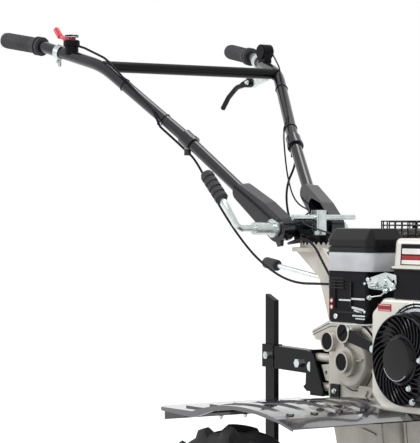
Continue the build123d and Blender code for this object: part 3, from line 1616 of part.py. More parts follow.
MUFFLER_BOTTOM = -92.0
MUFFLER_TOP = 2.0
GUARD_TOP = 17.0
GUARD_SHEET = 3.0
MUFFLER_X = 400.0
MUFFLER_Y = -22.0
TAIL_PIPE = 11.0
TAIL_PIPE_Z = -36.0
with BuildPart() as muffler:
    with BuildSketch(plan_view(MUFFLER_BOTTOM)):
        with Locations((HUB_X + MUFFLER_X, MUFFLER_Y)):
            RectangleRounded(106, 116, 26)
    extrude(amount=MUFFLER_TOP - MUFFLER_BOTTOM)
    fillet(muffler.faces().sort_by(Axis.Z)[-1].edges(), 12)
    with BuildSketch(plan_view(-60)):
        with Locations((HUB_X + MUFFLER_X, MUFFLER_Y)):
            RectangleRounded(110, 120, 28)
    extrude(amount=5)
    # exhaust flange on the cylinder head, and the tail pipe on the left
    with BuildSketch(plan_view(-112 + SEAT)):
        with Locations((HUB_X + 411, 0)):
            Circle(17)
    extrude(amount=112 + MUFFLER_BOTTOM)
    with BuildSketch(side_view(MUFFLER_Y + 56)):
        with Locations(flat(MUFFLER_X, TAIL_PIPE_Z)):
            Circle(TAIL_PIPE)
            Circle(TAIL_PIPE - 2, mode=Mode.SUBTRACT)
    extrude(amount=-26)
save(muffler.part, "muffler")

with BuildPart() as muffler_guard:
    with BuildSketch(plan_view(-50)):
        with Locations((HUB_X + MUFFLER_X, MUFFLER_Y)):
            RectangleRounded(122, 132, 30)
    extrude(amount=GUARD_TOP + 50)
    fillet(muffler_guard.faces().sort_by(Axis.Z)[-1].edges(), 8)
    with BuildSketch(plan_view(-51)):
        with Locations((HUB_X + MUFFLER_X, MUFFLER_Y)):
            RectangleRounded(122 - 2 * GUARD_SHEET, 132 - 2 * GUARD_SHEET, 27)
    extrude(amount=GUARD_TOP - GUARD_SHEET + 51, mode=Mode.SUBTRACT)
    for x in (-36, -18, 0, 18, 36):
        with BuildSketch(plan_view(GUARD_TOP - 10)):
            with Locations((HUB_X + MUFFLER_X + x, MUFFLER_Y)):
                SlotOverall(96, 9, rotation=90)
        extrude(amount=20, mode=Mode.SUBTRACT)
    for z in (-4, -22):
        with BuildSketch(side_view(MUFFLER_Y)):
            for x in (-27, 0, 27):
                with Locations(flat(MUFFLER_X + x, z)):
                    SlotOverall(20, 10)
        extrude(amount=80, mode=Mode.SUBTRACT)
        with BuildSketch(Plane.YZ.offset(HUB_X + MUFFLER_X - 80)):
            for y in (-27, 0, 27):
                with Locations((MUFFLER_Y + y, HUB_HEIGHT + z)):
                    SlotOverall(20, 10)
        extrude(amount=160, mode=Mode.SUBTRACT)
    with BuildSketch(side_view(MUFFLER_Y + 90)):
        with Locations(flat(MUFFLER_X, TAIL_PIPE_Z)):
            Circle(TAIL_PIPE + 2)
    extrude(amount=40, mode=Mode.SUBTRACT)
    # studs that hold it off the muffler
    for x in (-27, 27):
        with BuildSketch(plan_view(MUFFLER_TOP + SEAT)):
            with Locations((HUB_X + MUFFLER_X + x, MUFFLER_Y)):
                Circle(4)
        extrude(amount=GUARD_TOP - MUFFLER_TOP - 1 - SEAT)
save(muffler_guard.part, "muffler_guard")
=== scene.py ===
"""Looks of the walk-behind two-wheel tractor, laid out as a Blender add-on.

Places are in millimetres from the handlebar hub, the bolt that the handlebar tilts on: x forward,
y to the machine's left and z up. to_frame() turns them into metres in the part's frame.
"""

import json
import math

import bmesh
import bpy
import numpy as np
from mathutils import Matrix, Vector


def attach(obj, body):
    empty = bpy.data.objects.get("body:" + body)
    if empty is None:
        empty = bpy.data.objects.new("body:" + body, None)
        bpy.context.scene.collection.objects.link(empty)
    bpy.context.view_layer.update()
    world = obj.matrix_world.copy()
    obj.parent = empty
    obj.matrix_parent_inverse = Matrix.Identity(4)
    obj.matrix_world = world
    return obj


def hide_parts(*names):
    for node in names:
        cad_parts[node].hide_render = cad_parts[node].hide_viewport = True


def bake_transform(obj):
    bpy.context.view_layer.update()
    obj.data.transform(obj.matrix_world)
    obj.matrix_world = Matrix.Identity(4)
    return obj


bl_info = {
    "name": "Hand tractor looks",
    "version": (1, 0, 0),
    "blender": (4, 5, 0),
    "location": "View3D > Sidebar > Hand tractor",
    "description": "Finishes and small parts of a walk-behind two-wheel tractor",
    "category": "Object",
}

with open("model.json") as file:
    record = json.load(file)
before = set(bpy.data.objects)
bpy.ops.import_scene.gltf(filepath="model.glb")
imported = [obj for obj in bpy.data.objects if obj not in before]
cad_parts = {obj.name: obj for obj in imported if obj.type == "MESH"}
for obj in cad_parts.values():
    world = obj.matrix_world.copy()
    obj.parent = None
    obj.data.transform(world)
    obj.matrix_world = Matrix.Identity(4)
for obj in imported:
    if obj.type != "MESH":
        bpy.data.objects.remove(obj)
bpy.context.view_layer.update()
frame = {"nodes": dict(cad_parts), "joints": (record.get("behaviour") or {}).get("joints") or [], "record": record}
JOINTS = {joint["name"]: joint for joint in frame["joints"]}
HUB = np.array(JOINTS["handlebar_height"]["pos_m"])
MATERIALS = {}

MM = 1000.0  # millimetres in a metre
SAME_POINT = 1e-6  # metres between points that are merged
SHARP_FROM = 32  # degrees that an edge turns when it shows as an edge
RIGHT, LEFT, UP, FORWARD = (0, -1, 0), (0, 1, 0), (0, 0, 1), (1, 0, 0)
MIRROR = np.array((1, -1, 1))  # takes a place on the machine's right to its left

# ---- surfaces -----------------------------------------------------------------------------


def to_frame(points):
    """Points in millimetres from the hub, as metres in the part's frame: hub + points / 1000."""
    return HUB + np.asarray(points, float) / MM


def unit(vectors):
    """Vectors divided by their lengths."""
    vectors = np.asarray(vectors, float)
    return vectors / np.linalg.norm(vectors, axis=-1, keepdims=True)


def full_turn(count):
    """Angles evenly spaced round a circle, in radians: i * 2 pi / count."""
    return np.linspace(0, 2 * math.pi, count + 1)[:-1]


def spread(start, end, count):
    """Evenly spaced points from start to end: start + (end - start) * t."""
    start, end = np.asarray(start, float), np.asarray(end, float)
    return start + (end - start) * np.linspace(0, 1, count)[:, None]


def skin(points, loop=False):
    """Points and faces over a grid of rows and columns, or several such grids. The columns join
    round. The rows join round too with loop, and otherwise each end is closed by one face."""
    points = np.asarray(points, float)
    rows, columns = points.shape[-3:-1]
    grids = points.reshape(-1, rows * columns, 3)
    here = np.arange(rows if loop else rows - 1)[:, None]
    ahead = (here + 1) % rows
    column = np.arange(columns)
    after = (column + 1) % columns
    corners = [(here, column), (here, after), (ahead, after), (ahead, column)]
    quads = np.stack([row * columns + place for row, place in corners], -1)
    start = np.arange(len(grids))[:, None, None] * rows * columns
    faces = (quads.reshape(-1, 4) + start).reshape(-1, 4).tolist()
    if not loop:
        ends = np.stack([column[::-1], (rows - 1) * columns + column])
        faces += (ends + start).reshape(-1, columns).tolist()
    return grids.reshape(-1, 3), faces


def across(axes):
    """Two unit vectors square to each axis: u = axis x z (or x, for an upright axis), and
    v = axis x u."""
    axes = unit(axes)
    upright_axis = np.abs(axes[..., 2:]) > 0.9
    u = unit(np.cross(axes, np.where(upright_axis, (1.0, 0, 0), (0, 0, 1.0))))
    return u, np.cross(axes, u)


def turned(rows, places, axes, sides=18, scale=1.0):
    """Pieces turned on an axis, all alike. rows give height, radius and hexagon share h.
    Point = place + axis * height + radius * g * (u cos a + v sin a), with
    g = 1 - h + h * cos 30 / cos(a mod 60 - 30), which is 1 on a round row and a hexagon where h
    is 1."""
    places = np.asarray(places, float).reshape(-1, 3)
    axes = np.broadcast_to(unit(axes), places.shape)
    u, v = across(axes)
    angle = full_turn(sides)
    sixth = math.pi / 3
    corner = math.cos(sixth / 2) / np.cos(angle % sixth - sixth / 2)
    height, radius, share = np.asarray(rows, float).T
    reach = radius[:, None] * (1 - share[:, None] + share[:, None] * corner)
    ring = np.cos(angle)[:, None] * u[:, None, None] + np.sin(angle)[:, None] * v[:, None, None]
    along = height[:, None, None] * axes[:, None, None]
    return skin(places[:, None, None] + scale * (along + reach[:, :, None] * ring))


def tube(path, radius, sides=12, loop=False):
    """Round bar along a path of points. Point = path + radius * (u cos a + v sin a), where u and v
    are square to the path's direction t: u = t x n, v = t x u, n being the direction that the path
    bends least in."""
    path = np.asarray(path, float)
    first, last = 2 * path[:1] - path[1:2], 2 * path[-1:] - path[-2:-1]
    if loop:
        first, last = path[-1:], path[:1]
    padded = np.concatenate([first, path, last])
    t = unit(padded[2:] - padded[:-2])
    least = np.linalg.svd(path - path.mean(0))[2][2]
    if np.abs(t @ least).max() > 0.95:
        least = np.roll(least, 1)
    u = unit(np.cross(t, least))
    v = np.cross(t, u)
    angle = full_turn(sides)
    reach = np.broadcast_to(np.asarray(radius, float), len(path))[:, None, None]
    ring = np.cos(angle)[:, None] * u[:, None] + np.sin(angle)[:, None] * v[:, None]
    return skin(path[:, None] + reach * ring, loop)


def helix(start, end, radius, turns, wire):
    """Coil spring: a tube along start + axis * t + radius * (u cos a + v sin a), a going round by
    turns."""
    t = np.linspace(0, 1, int(turns * 10) + 1)[:, None]
    u, v = across(np.subtract(end, start))
    angle = t * turns * 2 * math.pi
    middle = np.asarray(start, float) + np.subtract(end, start) * t
    return tube(middle + radius * (np.cos(angle) * u + np.sin(angle) * v), wire, 6)


def rounded(corners, radii, steps=5, closed=True):
    """Corners of a path or outline, in two or three dimensions, rounded by curves of the given
    reach: each corner p becomes (1-s)^2 a + 2 s (1-s) p + s^2 b, a and b lying on its two sides at
    that reach."""
    corners = np.asarray(corners, float)
    radii = np.broadcast_to(np.asarray(radii, float), len(corners))[:, None]
    a = corners + unit(np.roll(corners, 1, 0) - corners) * radii
    b = corners + unit(np.roll(corners, -1, 0) - corners) * radii
    s = np.linspace(0, 1, steps)[:, None]
    bends = (1 - s) ** 2 * a[:, None] + 2 * s * (1 - s) * corners[:, None] + s**2 * b[:, None]
    if closed:
        return bends.reshape(-1, corners.shape[1])
    inner = bends[1:-1].reshape(-1, corners.shape[1])
    return np.concatenate([corners[:1], inner, corners[-1:]])


def box_outline(length, width, corner, steps=4):
    """Rectangle with rounded corners, about its middle."""
    x, y = length / 2, width / 2
    return rounded([(-x, -y), (x, -y), (x, y), (-x, y)], corner, steps)


def hull(circles, count=180):
    """Outline round several circles: in each direction it is the furthest of
    place + radius * direction."""
    circles = np.asarray(circles, float)
    angle = full_turn(count)
    way = np.stack([np.cos(angle), np.sin(angle)], -1)
    furthest = np.argmax(way @ circles[:, :2].T + circles[:, 2], axis=1)
    return circles[furthest, :2] + circles[furthest, 2:] * way


def strip(start, end, width):
    """Outline of a straight strip between two places, with round-nosed ends."""
    return hull([(*start, width / 2), (*end, width / 2)], 24)


def slab(outline, origin, u, v, thickness, edge=0.6):
    """Flat plate: an outline in the plane of u and v, carried along w = u x v by its thickness.
    Its rows step in by the edge at both faces, towards the outline's middle, for a broken edge."""
    outline = np.asarray(outline, float)
    u, v = unit(u), unit(v)
    inward = unit(outline.mean(0) - outline) * edge
    flat = outline + np.stack([inward, inward * 0, inward * 0, inward])
    height = np.array([0.0, edge, thickness - edge, thickness])[:, None, None] * np.cross(u, v)
    return skin(np.asarray(origin, float) + flat[..., :1] * u + flat[..., 1:] * v + height)


def upright(outline, y, thickness, edge=0.3):
    """Upright plate of forward and up corners, from y out to the right by its thickness."""
    return slab(outline, (0, y, 0), FORWARD, UP, thickness, edge)


def plate(x, z, length, width, corner, y, thickness, edge=0.3):
    """Upright rectangular plate with rounded corners, about x and z."""
    return upright(box_outline(length, width, corner) + (x, z), y, thickness, edge)


def on_circle(centre, radius, degrees):
    """Places on an upright circle: centre + radius * (cos a, 0, sin a)."""
    angle = np.radians(np.asarray(degrees, float))
    circle = np.stack([np.cos(angle), 0 * angle, np.sin(angle)], -1)
    return np.asarray(centre, float) + radius * circle


def ring_path(place, axis, radius, count=72):
    """Circle of points square to an axis: place + radius * (u cos a + v sin a)."""
    u, v = across(axis)
    angle = full_turn(count)[:, None]
    return np.asarray(place, float) + radius * (np.cos(angle) * u + np.sin(angle) * v)


def rim_path(middle, size, corner, z, steps=6):
    """Level path round a rectangle with rounded corners."""
    outline = box_outline(*size, corner, steps) + middle
    return np.column_stack([outline, np.full(len(outline), z)])


def weld_bead(path, size):
    """Weld bead along a closed path: a tube whose radius is size * (1 + 0.25 sin 1.9 d), d being
    the distance along it."""
    steps = np.linalg.norm(np.diff(path, axis=0, append=path[:1]), axis=1)
    along = np.concatenate([[0], np.cumsum(steps)[:-1]])
    return tube(path, size * (1 + 0.25 * np.sin(along * 1.9)), 8, loop=True)


def both_sides(places):
    """Places and their mirror images across the middle plane, with the way out from each."""
    places = np.asarray(places, float).reshape(-1, 3)
    ways = np.tile(RIGHT, (len(places), 1))
    return np.concatenate([places, places * MIRROR]), np.concatenate([ways, -ways])


def make_piece(name, surfaces, finish, body="chassis", replaced=(), bevel=0.0):
    """One object of several closed surfaces: its points doubled up at a pole are merged, and its
    faces turned outwards. It rides on a body, or stays free when body is None."""
    points, faces = [], []
    for part_points, part_faces in surfaces:
        start = sum(len(earlier) for earlier in points)
        points.append(part_points)
        faces += [[start + corner for corner in face] for face in part_faces]
    mesh = bpy.data.meshes.new(name)
    mesh.from_pydata(to_frame(np.concatenate(points)).tolist(), [], faces)
    work = bmesh.new()
    work.from_mesh(mesh)
    bmesh.ops.remove_doubles(work, verts=work.verts, dist=SAME_POINT)
    bmesh.ops.recalc_face_normals(work, faces=work.faces)
    work.to_mesh(mesh)
    work.free()
    mesh.shade_smooth()
    mesh.set_sharp_from_angle(angle=math.radians(SHARP_FROM))
    mesh.materials.append(MATERIALS[finish])
    piece = bpy.data.objects.new(name, mesh)
    bpy.context.scene.collection.objects.link(piece)
    if bevel:
        edge = piece.modifiers.new("edge", "BEVEL")
        edge.width = bevel / MM
        edge.segments = 2
        edge.limit_method = "ANGLE"
        edge.harden_normals = True
    if replaced:
        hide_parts(*replaced)
    if body:
        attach(piece, body)
    return piece


# ---- materials ----------------------------------------------------------------------------


def linear(code):
    """An sRGB hex colour as the linear values that shaders take."""
    values = [int(code[i : i + 2], 16) / 255 for i in (1, 3, 5)]
    return [v / 12.92 if v <= 0.04045 else ((v + 0.055) / 1.055) ** 2.4 for v in values] + [1.0]


def toned(colour, share):
    """A linear colour with its red, green and blue multiplied by a share."""
    return [min(1.0, c * share) for c in colour[:3]] + [1.0]


def add_node(tree, kind, settings=None, **links):
    """Adds a node. settings are its properties and socket values by name, links its inputs by
    name."""
    node = tree.nodes.new(kind)
    for name, value in (settings or {}).items():
        if name in node.inputs:
            node.inputs[name].default_value = value
        else:
            setattr(node, name, value)
    for name, source in links.items():
        tree.links.new(source, node.inputs[name.replace("_", " ")])
    return node


def new_material(name, base, rough, metal=0.0, **extra):
    """An empty material with one Principled shader: the material, its tree and the shader."""
    material = bpy.data.materials.new(name)
    material.use_nodes = True
    tree = material.node_tree
    tree.nodes.clear()
    settings = {"Base Color": base, "Roughness": rough, "Metallic": metal, **extra}
    shader = add_node(tree, "ShaderNodeBsdfPrincipled", settings)
    add_node(tree, "ShaderNodeOutputMaterial", Surface=shader.outputs["BSDF"])
    return material, tree, shader


def grained(name, colour, rough, patches, grain, metal=0.0, swing=None, **extra):
    """A finish whose colour wanders down to a darker tone over a noise, with a bump of finer noise.
    patches: noise per metre, darkest share. grain: noise per metre, detail, depth in metres,
    strength. swing: how far the roughness goes below and above its value with the patches."""
    material, tree, shader = new_material(name, colour, rough, metal, **extra)
    coords = add_node(tree, "ShaderNodeTexCoord").outputs["Object"]
    per_metre, darkest = patches
    cloud = add_node(tree, "ShaderNodeTexNoise", {"Scale": per_metre, "Detail": 4.0}, Vector=coords)
    ramp = add_node(tree, "ShaderNodeValToRGB", Fac=cloud.outputs["Fac"])
    dark, pale = ramp.color_ramp.elements
    dark.position, dark.color = 0.35, toned(colour, darkest)
    pale.position, pale.color = 0.65, colour
    tree.links.new(ramp.outputs["Color"], shader.inputs["Base Color"])
    per_metre, detail, depth, strength = grain
    fine = {"Scale": per_metre, "Detail": detail}
    height = add_node(tree, "ShaderNodeTexNoise", fine, Vector=coords).outputs["Fac"]
    relief = {"Distance": depth, "Strength": strength}
    bump = add_node(tree, "ShaderNodeBump", relief, Height=height)
    tree.links.new(bump.outputs["Normal"], shader.inputs["Normal"])
    if swing:
        ends = {"To Min": rough - swing[0], "To Max": rough + swing[1]}
        span = add_node(tree, "ShaderNodeMapRange", ends, Value=cloud.outputs["Fac"])
        tree.links.new(span.outputs["Result"], shader.inputs["Roughness"])
    return material


def cast_aluminium(name, colour, rough=0.5):
    """Bead-blasted die-cast aluminium: pale and even, a little darker in patches 40 mm across, with
    a sand-fine grain of about 1 mm."""
    return grained(name, colour, rough, (26.0, 0.78), (900.0, 2.0, 0.0004, 0.5), 0.5, (0.08, 0.1))


def powder_coat(name, colour, rough=0.3, gloss=0.2):
    """Powder-coated steel: near black, semi-gloss, with the faint orange peel of a baked coat,
    3 mm across."""
    shine = {"Specular IOR Level": 0.06, "Coat Weight": gloss, "Coat Roughness": 0.12}
    peel = (330.0, 1.0, 0.00015, 0.35)
    return grained(name, colour, rough, (18.0, 0.75), peel, 0.0, (0.05, 0.08), **shine)


def enamel(name, colour, rough=0.22, coat=0.5, index=1.5):
    """Sprayed gloss enamel over sheet steel: one even colour under a clear gloss, with waves 10 mm
    long."""
    clear = {"Coat Weight": coat, "Coat Roughness": 0.04, "Coat IOR": index}
    wave = (90.0, 1.0, 0.0002, 0.2)
    return grained(name, colour, rough, (8.0, 0.93), wave, **clear, **{"Specular IOR Level": 0.3})


def bright_zinc(name, colour, rough=0.26):
    """Bright zinc plate on steel: silver with a cool cast, cloudy over 15 mm, with a fine drawn
    grain."""
    return grained(name, colour, rough, (65.0, 0.8), (1500.0, 2.0, 0.0001, 0.3), 1.0, (0.08, 0.14))


def moulded_plastic(name, colour, rough=0.4, grain_mm=0.9, shine=0.07):
    """Injection-moulded plastic with the fine leather grain of its mould, drawn at about 1 mm so
    that it shows."""
    grain = (MM / grain_mm, 2.0, 0.0003, 0.35)
    return grained(name, colour, rough, (30.0, 0.85), grain, **{"Specular IOR Level": shine})


def rubber(name, colour, rough=0.62):
    """Moulded rubber: matt, dusty grey-black, with a slightly soft sheen."""
    sheen = {"Specular IOR Level": 0.18, "Sheen Weight": 0.06, "Sheen Roughness": 0.5}
    return grained(name, colour, rough, (22.0, 0.75), (700.0, 3.0, 0.0003, 0.4), **sheen)


def build_materials(paint):
    """One material for each slot of the record, and four more for the bars and small parts."""
    return {
        "cast_aluminium": cast_aluminium("bead_blasted_cast_aluminium", paint.casting),
        "engine_aluminium": cast_aluminium("die_cast_aluminium", paint.engine_casting, 0.42),
        "black_paint": powder_coat("black_powder_coat", paint.black),
        "bar_paint": powder_coat("black_bar_enamel", paint.bar, 0.25, 0.9),
        "fender_paint": enamel("black_enamel_sheet", paint.fender, 0.14, 1.0, 1.7),
        "cream_paint": enamel("cream_enamel_sheet", paint.cream),
        "rim_paint": enamel("cream_wheel_enamel", paint.rim, 0.3),
        # the zinc also paints the highlight arcs on the air grille's edge
        "zinc": bright_zinc("bright_zinc_plate", paint.zinc),
        "steel": bright_zinc("turned_steel", paint.steel, 0.34),
        "muffler_steel": powder_coat("heat_resistant_paint", paint.muffler, 0.5),
        "black_rubber": rubber("nitrile_rubber", paint.grip),
        "tyre": rubber("tyre_rubber", paint.tyre, 0.7),
        "black_plastic": moulded_plastic("black_abs", paint.plastic),
        "gloss_black": moulded_plastic("gloss_black_abs", paint.plastic, 0.16, 3.0, 0.2),
        # the silver grey also paints the highlight arc on the recoil hub and the highlight band on the air grille
        "grey_plastic": moulded_plastic("silver_grey_abs", paint.bowl, 0.28, 0.9, 0.5),
        "red_plastic": moulded_plastic("red_nylon", paint.lever, 0.32, 0.9, 0.4),
        "cable_sheath": moulded_plastic("pvc_cable_sheath", paint.sheath, 0.38),
        "blank_red": moulded_plastic("red_vinyl", paint.red_plate, 0.3, 4.0),
        "blank_white": moulded_plastic("white_vinyl", paint.white_plate, 0.3, 4.0),
        # the gasket grey also paints the shadow rings round the gearbox's bulges and the highlight lines on the
        # air filter's cover
        "gasket": rubber("gasket_board", paint.gasket, 0.8),
    }


# ---- settings -----------------------------------------------------------------------------


def colour(label, use, code):
    """A colour setting with its default. use is what has the colour."""
    return bpy.props.FloatVectorProperty(
        name=label,
        description=f"Colour of {use}",
        default=linear(code),
        subtype="COLOR",
        size=4,
        min=0.0,
        max=1.0,
    )


def length(label, use, metres):
    """A length setting, in metres, with its default."""
    return bpy.props.FloatProperty(
        name=label, description=use, default=metres, min=0.0, unit="LENGTH"
    )


def number(label, use, count, least, most):
    """A setting that counts like parts, with its default."""
    return bpy.props.IntProperty(name=label, description=use, default=count, min=least, max=most)


class PaintSettings(bpy.types.PropertyGroup):
    """Colours of the finishes"""

    casting: colour("Gearbox casting", "the blasted gearbox castings", "#c6c2b9")
    engine_casting: colour("Engine casting", "the engine's castings", "#a9a8a5")
    black: colour("Black paint", "the powder-coated steel", "#0a0b0d")
    bar: colour("Bar paint", "the handlebar's glossier black", "#191a20")
    fender: colour("Fender paint", "the fenders' enamel", "#26262e")
    cream: colour("Cream paint", "the tank and the fan shroud", "#dcd9cf")
    rim: colour("Wheel paint", "the wheel rims", "#d8d5ca")
    # the zinc also paints the highlight arcs on the air grille's edge
    zinc: colour("Zinc plate", "bolts, pins and brackets", "#c9d1d0")
    steel: colour("Turned steel", "the axle", "#a8a8a6")
    muffler: colour("Muffler paint", "the muffler", "#4c4b46")
    grip: colour("Grip rubber", "the grips and knobs", "#404044")
    tyre: colour("Tyre rubber", "the tyres", "#242425")
    plastic: colour("Black plastic", "the black mouldings", "#131316")
    # the silver grey also paints the highlight arc on the recoil hub and the highlight band on the air grille
    bowl: colour("Grey plastic", "the air filter's bowl", "#bec0c5")
    lever: colour("Red lever", "the throttle lever", "#d6303b")
    sheath: colour("Cable sheath", "the cables' sheaths", "#202024")
    red_plate: colour("Red plate", "the blank red plates", "#a83a3e")
    white_plate: colour("White plate", "the blank white bands", "#eceae4")
    # the gasket grey also paints the shadow rings round the gearbox's bulges and the highlight lines on the air
    # filter's cover
    gasket: colour("Gasket", "the gasket board between castings", "#3a3a38")


class StudioSettings(bpy.types.PropertyGroup):
    """Floor and lamps"""

    floor: colour("Floor", "the pale floor", "#efefef")
    lamp_power: bpy.props.FloatProperty(
        name="Lamp power",
        description="Share of the lamps' usual power",
        default=1.0,
        min=0.0,
        subtype="FACTOR",
    )


class TreadSettings(bpy.types.PropertyGroup):
    """Tread of the tyres"""

    bars: number("Bars", "Tread bars on each side of a tyre", 15, 6, 30)
    height: length("Bar height", "How far a tread bar stands out of the tyre's casing", 0.015)


class EngineSettings(bpy.types.PropertyGroup):
    """Small parts of the engine"""

    fins: number("Fins", "Fins round the recoil cover", 32, 8, 60)
    guard_wire: length("Guard wire", "Thickness of the muffler guard's wire", 0.0026)


class ControlSettings(bpy.types.PropertyGroup):
    """Small parts of the handlebar and frame"""

    rib_pitch: length("Rib pitch", "Distance between the ribs round a grip", 0.006)
    bead: length("Weld bead", "Thickness of the weld beads", 0.004)


# ---- finishes -----------------------------------------------------------------------------

# the handlebar's tubes have a glossier black than the other painted steel
BAR_NODES = ("right_bar", "left_bar", "bar_brackets", "bar_collars")


class TRACTOR_OT_finishes(bpy.types.Operator):
    """Gives each CAD node the finish of its slot"""

    bl_idname = "tractor.finishes"
    bl_label = "Finishes"

    def execute(self, context):
        MATERIALS.update(build_materials(context.scene.tractor_paint))
        for row in frame["record"]["subparts"]:
            finish = "bar_paint" if row["node"] in BAR_NODES else row["material_slot"]
            materials = frame["nodes"][row["node"]].data.materials
            materials.clear()
            materials.append(MATERIALS[finish])
        return {"FINISHED"}


# ---- cables -------------------------------------------------------------------------------
# corners of the right-hand handlebar tube, and its directions from low to high
BAR = np.array(
    [(-90, -79, 60), (-240, -141, 191), (-425, -232, 347), (-597, -281, 398), (-724, -306, 420)]
)
LOWER_RUN, MIDDLE_RUN, UPPER_RUN, GRIP_RUN = unit(np.diff(BAR, axis=0))
BAR_RADIUS = 12.7
COLLAR = np.array((-227.1, -135.7, 152.7))  # where the right-hand cable leaves its collar
WIRE_COLLAR = np.array((-245.4, 119.1, 197.4))
CARB_BACK = 322.0
TO_COLLAR = (COLLAR + LOWER_RUN * 40, COLLAR)

# A cable's drop crosses the height hinge and its tail crosses the swivel. They meet at the split.
# Each row: radius; collar; the way on from it; more corners of the drop; the split; its direction;
# straight lengths before and after it; more corners of the tail.
CABLES = {
    "throttle": (
        2.5, COLLAR, LOWER_RUN * -20, [(-112, -146, 52)],
        (10, -146, -46), (0.84, 0.0, -0.54), 44, 46,
        [(150, -148, -106), (264, -150, -104), (CARB_BACK - 0.6, -150, -104)],
    ),
    "clutch": (
        2.5, COLLAR * MIRROR, LOWER_RUN * -20 * MIRROR,
        [(-226, 108, 84), (-176, 84, 6), (-86, 66, -26)],
        (-40, 34, -27), (0.35, -0.93, -0.05), 16, 46,
        [(2, -58, -33), (92, -60, -14), (152, -62, -84), (246, -74, -164), (311.5, -70.1, -202),
         (316, -70.1, -216.1)],
    ),
    "stop_wire": (
        1.75, WIRE_COLLAR, (7.8, -5.8, -10.1), [(-196, 92, 110), (-118, 56, 52)],
        (-24, 26, 32), (0.6, -0.78, -0.1), 18, 36,
        [(42, -46, 9), (196, -86, -9), (300, -99, -26), (470, -99, -44), (494, -122, -84),
         (494, -122, -121.7)],
    ),
}  # fmt: skip

TIE_WIRE = 0.9
TIE_RADIUS = BAR_RADIUS + 0.8
CABLE_ROOM = 3.2  # radius of the tie round the cable
HEAD_OUT = 3.4  # from the cable's middle to the tie's head
# The ties on each bar: corners of the cable along the bar, as if on the right; side; how far up
# the bar's middle run each tie is.
TIES = (
    (
        [(-497.6, -252.7, 395.2), (-477.2, -246.9, 389.2), (-416, -231.8, 364),
         (-292.3, -189, 250.1), (-281, -177.9, 213.6), *TO_COLLAR],
        (1, 1, 1), (62, 188),
    ),
    (
        [(-532, -276, 356), (-512, -274, 354), (-446.3, -246.4, 334.2), (-416.6, -239, 319.8),
         (-294.3, -167.7, 210.5), *TO_COLLAR],
        MIRROR, (40, 196),
    ),
)  # fmt: skip


def cable_line(corners):
    """Points along the smooth line whose control points are the given corners, in millimetres."""
    curve = bpy.data.curves.new("route", "CURVE")
    curve.dimensions = "3D"
    spline = curve.splines.new("NURBS")
    spline.points.add(len(corners) - 1)
    for point, corner in zip(spline.points, corners):
        point.co = (*corner, 1.0)
    spline.order_u = 3
    spline.use_endpoint_u = True
    spline.resolution_u = 14
    route = bpy.data.objects.new("route", curve)
    mesh = bpy.data.meshes.new_from_object(route)
    line = np.empty(len(mesh.vertices) * 3)
    mesh.vertices.foreach_get("co", line)
    bpy.data.objects.remove(route)
    bpy.data.meshes.remove(mesh)
    return line.reshape(-1, 3)


class TRACTOR_OT_cables(bpy.types.Operator):
    """Makes the throttle and clutch cables and the stop switch's wire, each as a drop and a tail that meet at a
    split
    """

    bl_idname = "tractor.cables"
    bl_label = "Cables"

    def execute(self, context):
        for name, (radius, collar, way, drop, split, run, before, after, tail) in CABLES.items():
            split, run = np.array(split), unit(run)
            drop = [collar, collar + way, *drop, split - run * before, split]
            tail = [split, split + run * after, *tail]
            self.stretch(name + "_drop", drop, radius, "drop_cables", "handlebar", "steering_head")
            self.stretch(name + "_tail", tail, radius, "tail_cables", "steering_head", "chassis")
        return {"FINISHED"}

    def stretch(self, name, corners, radius, node, *bodies):
        """The stretch of a cable between two bodies. The bodies are not used."""
        line = cable_line(corners)
        piece = make_piece(name, [tube(line, radius, 10)], "cable_sheath", None, (node,))
        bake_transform(piece)


class TRACTOR_OT_cable_ties(bpy.types.Operator):
    """Makes the ties that hold the cables to the bars, each a thin band with its head"""

    bl_idname = "tractor.cable_ties"
    bl_label = "Cable ties"

    def execute(self, context):
        bands = []
        u, v = across(MIDDLE_RUN)
        for corners, side, ups in TIES:
            line = cable_line(corners)
            along = (line - BAR[1]) @ MIDDLE_RUN
            for up in ups:
                middle = BAR[1] + MIDDLE_RUN * up
                cable = line[np.argmin(np.abs(along - up))] - middle
                loop = hull([(0, 0, TIE_RADIUS), (cable @ u, cable @ v, CABLE_ROOM)], 48)
                ring = middle + loop[:, :1] * u + loop[:, 1:] * v
                head = middle + unit(cable) * (np.linalg.norm(cable) + HEAD_OUT)
                bands.append(tube(ring * side, TIE_WIRE, 6, loop=True))
                bands.append(turned([(-2, 2, 0), (2, 2, 0)], head * side, MIDDLE_RUN * side, 8))
        make_piece("cable_ties", bands, "black_plastic", "handlebar")
        return {"FINISHED"}


# ---- tyres --------------------------------------------------------------------------------
AXLE = np.array((270.0, 0.0, 203.0 - 765.0))
TRACK = 740.0
TREAD_RADIUS = 202.8
TREAD_CROWN = 0.0035  # how the tread falls away with the square of y
TREAD_SLANT = math.tan(math.radians(42))
BAR_MIDDLE = 190  # radius at which the slant is measured
SHOULDER, SHOULDER_WIDTH = 150, 30  # radius where the bars start, and over which they rise
# half of a tyre's outer section, from the bead to the middle, and half of its inside, from the
# middle to the bead: distance from the wheel's middle plane, radius
CARCASS = ((41.5, 102.2), (41.5, 116), (53, 148), (52, 172), (44, 185), (24, 188), (0, 188))
CARCASS_BENDS = (0, 6, 14, 9, 8, 10, 0)
INNER_WALL = ((0, 174), (36, 172), (42, 147), (31, 103.5))
# one bar of tread: share of the pitch, share of the bar's height
TREAD_BAR = (
    (0.0, 0.0), (0.02, 0.1), (0.06, 0.85), (0.10, 1.0), (0.20, 1.0), (0.30, 1.0),
    (0.34, 0.85), (0.38, 0.1), (0.42, 0.0), (0.56, 0.0), (0.70, 0.0), (0.84, 0.0),
)  # fmt: skip


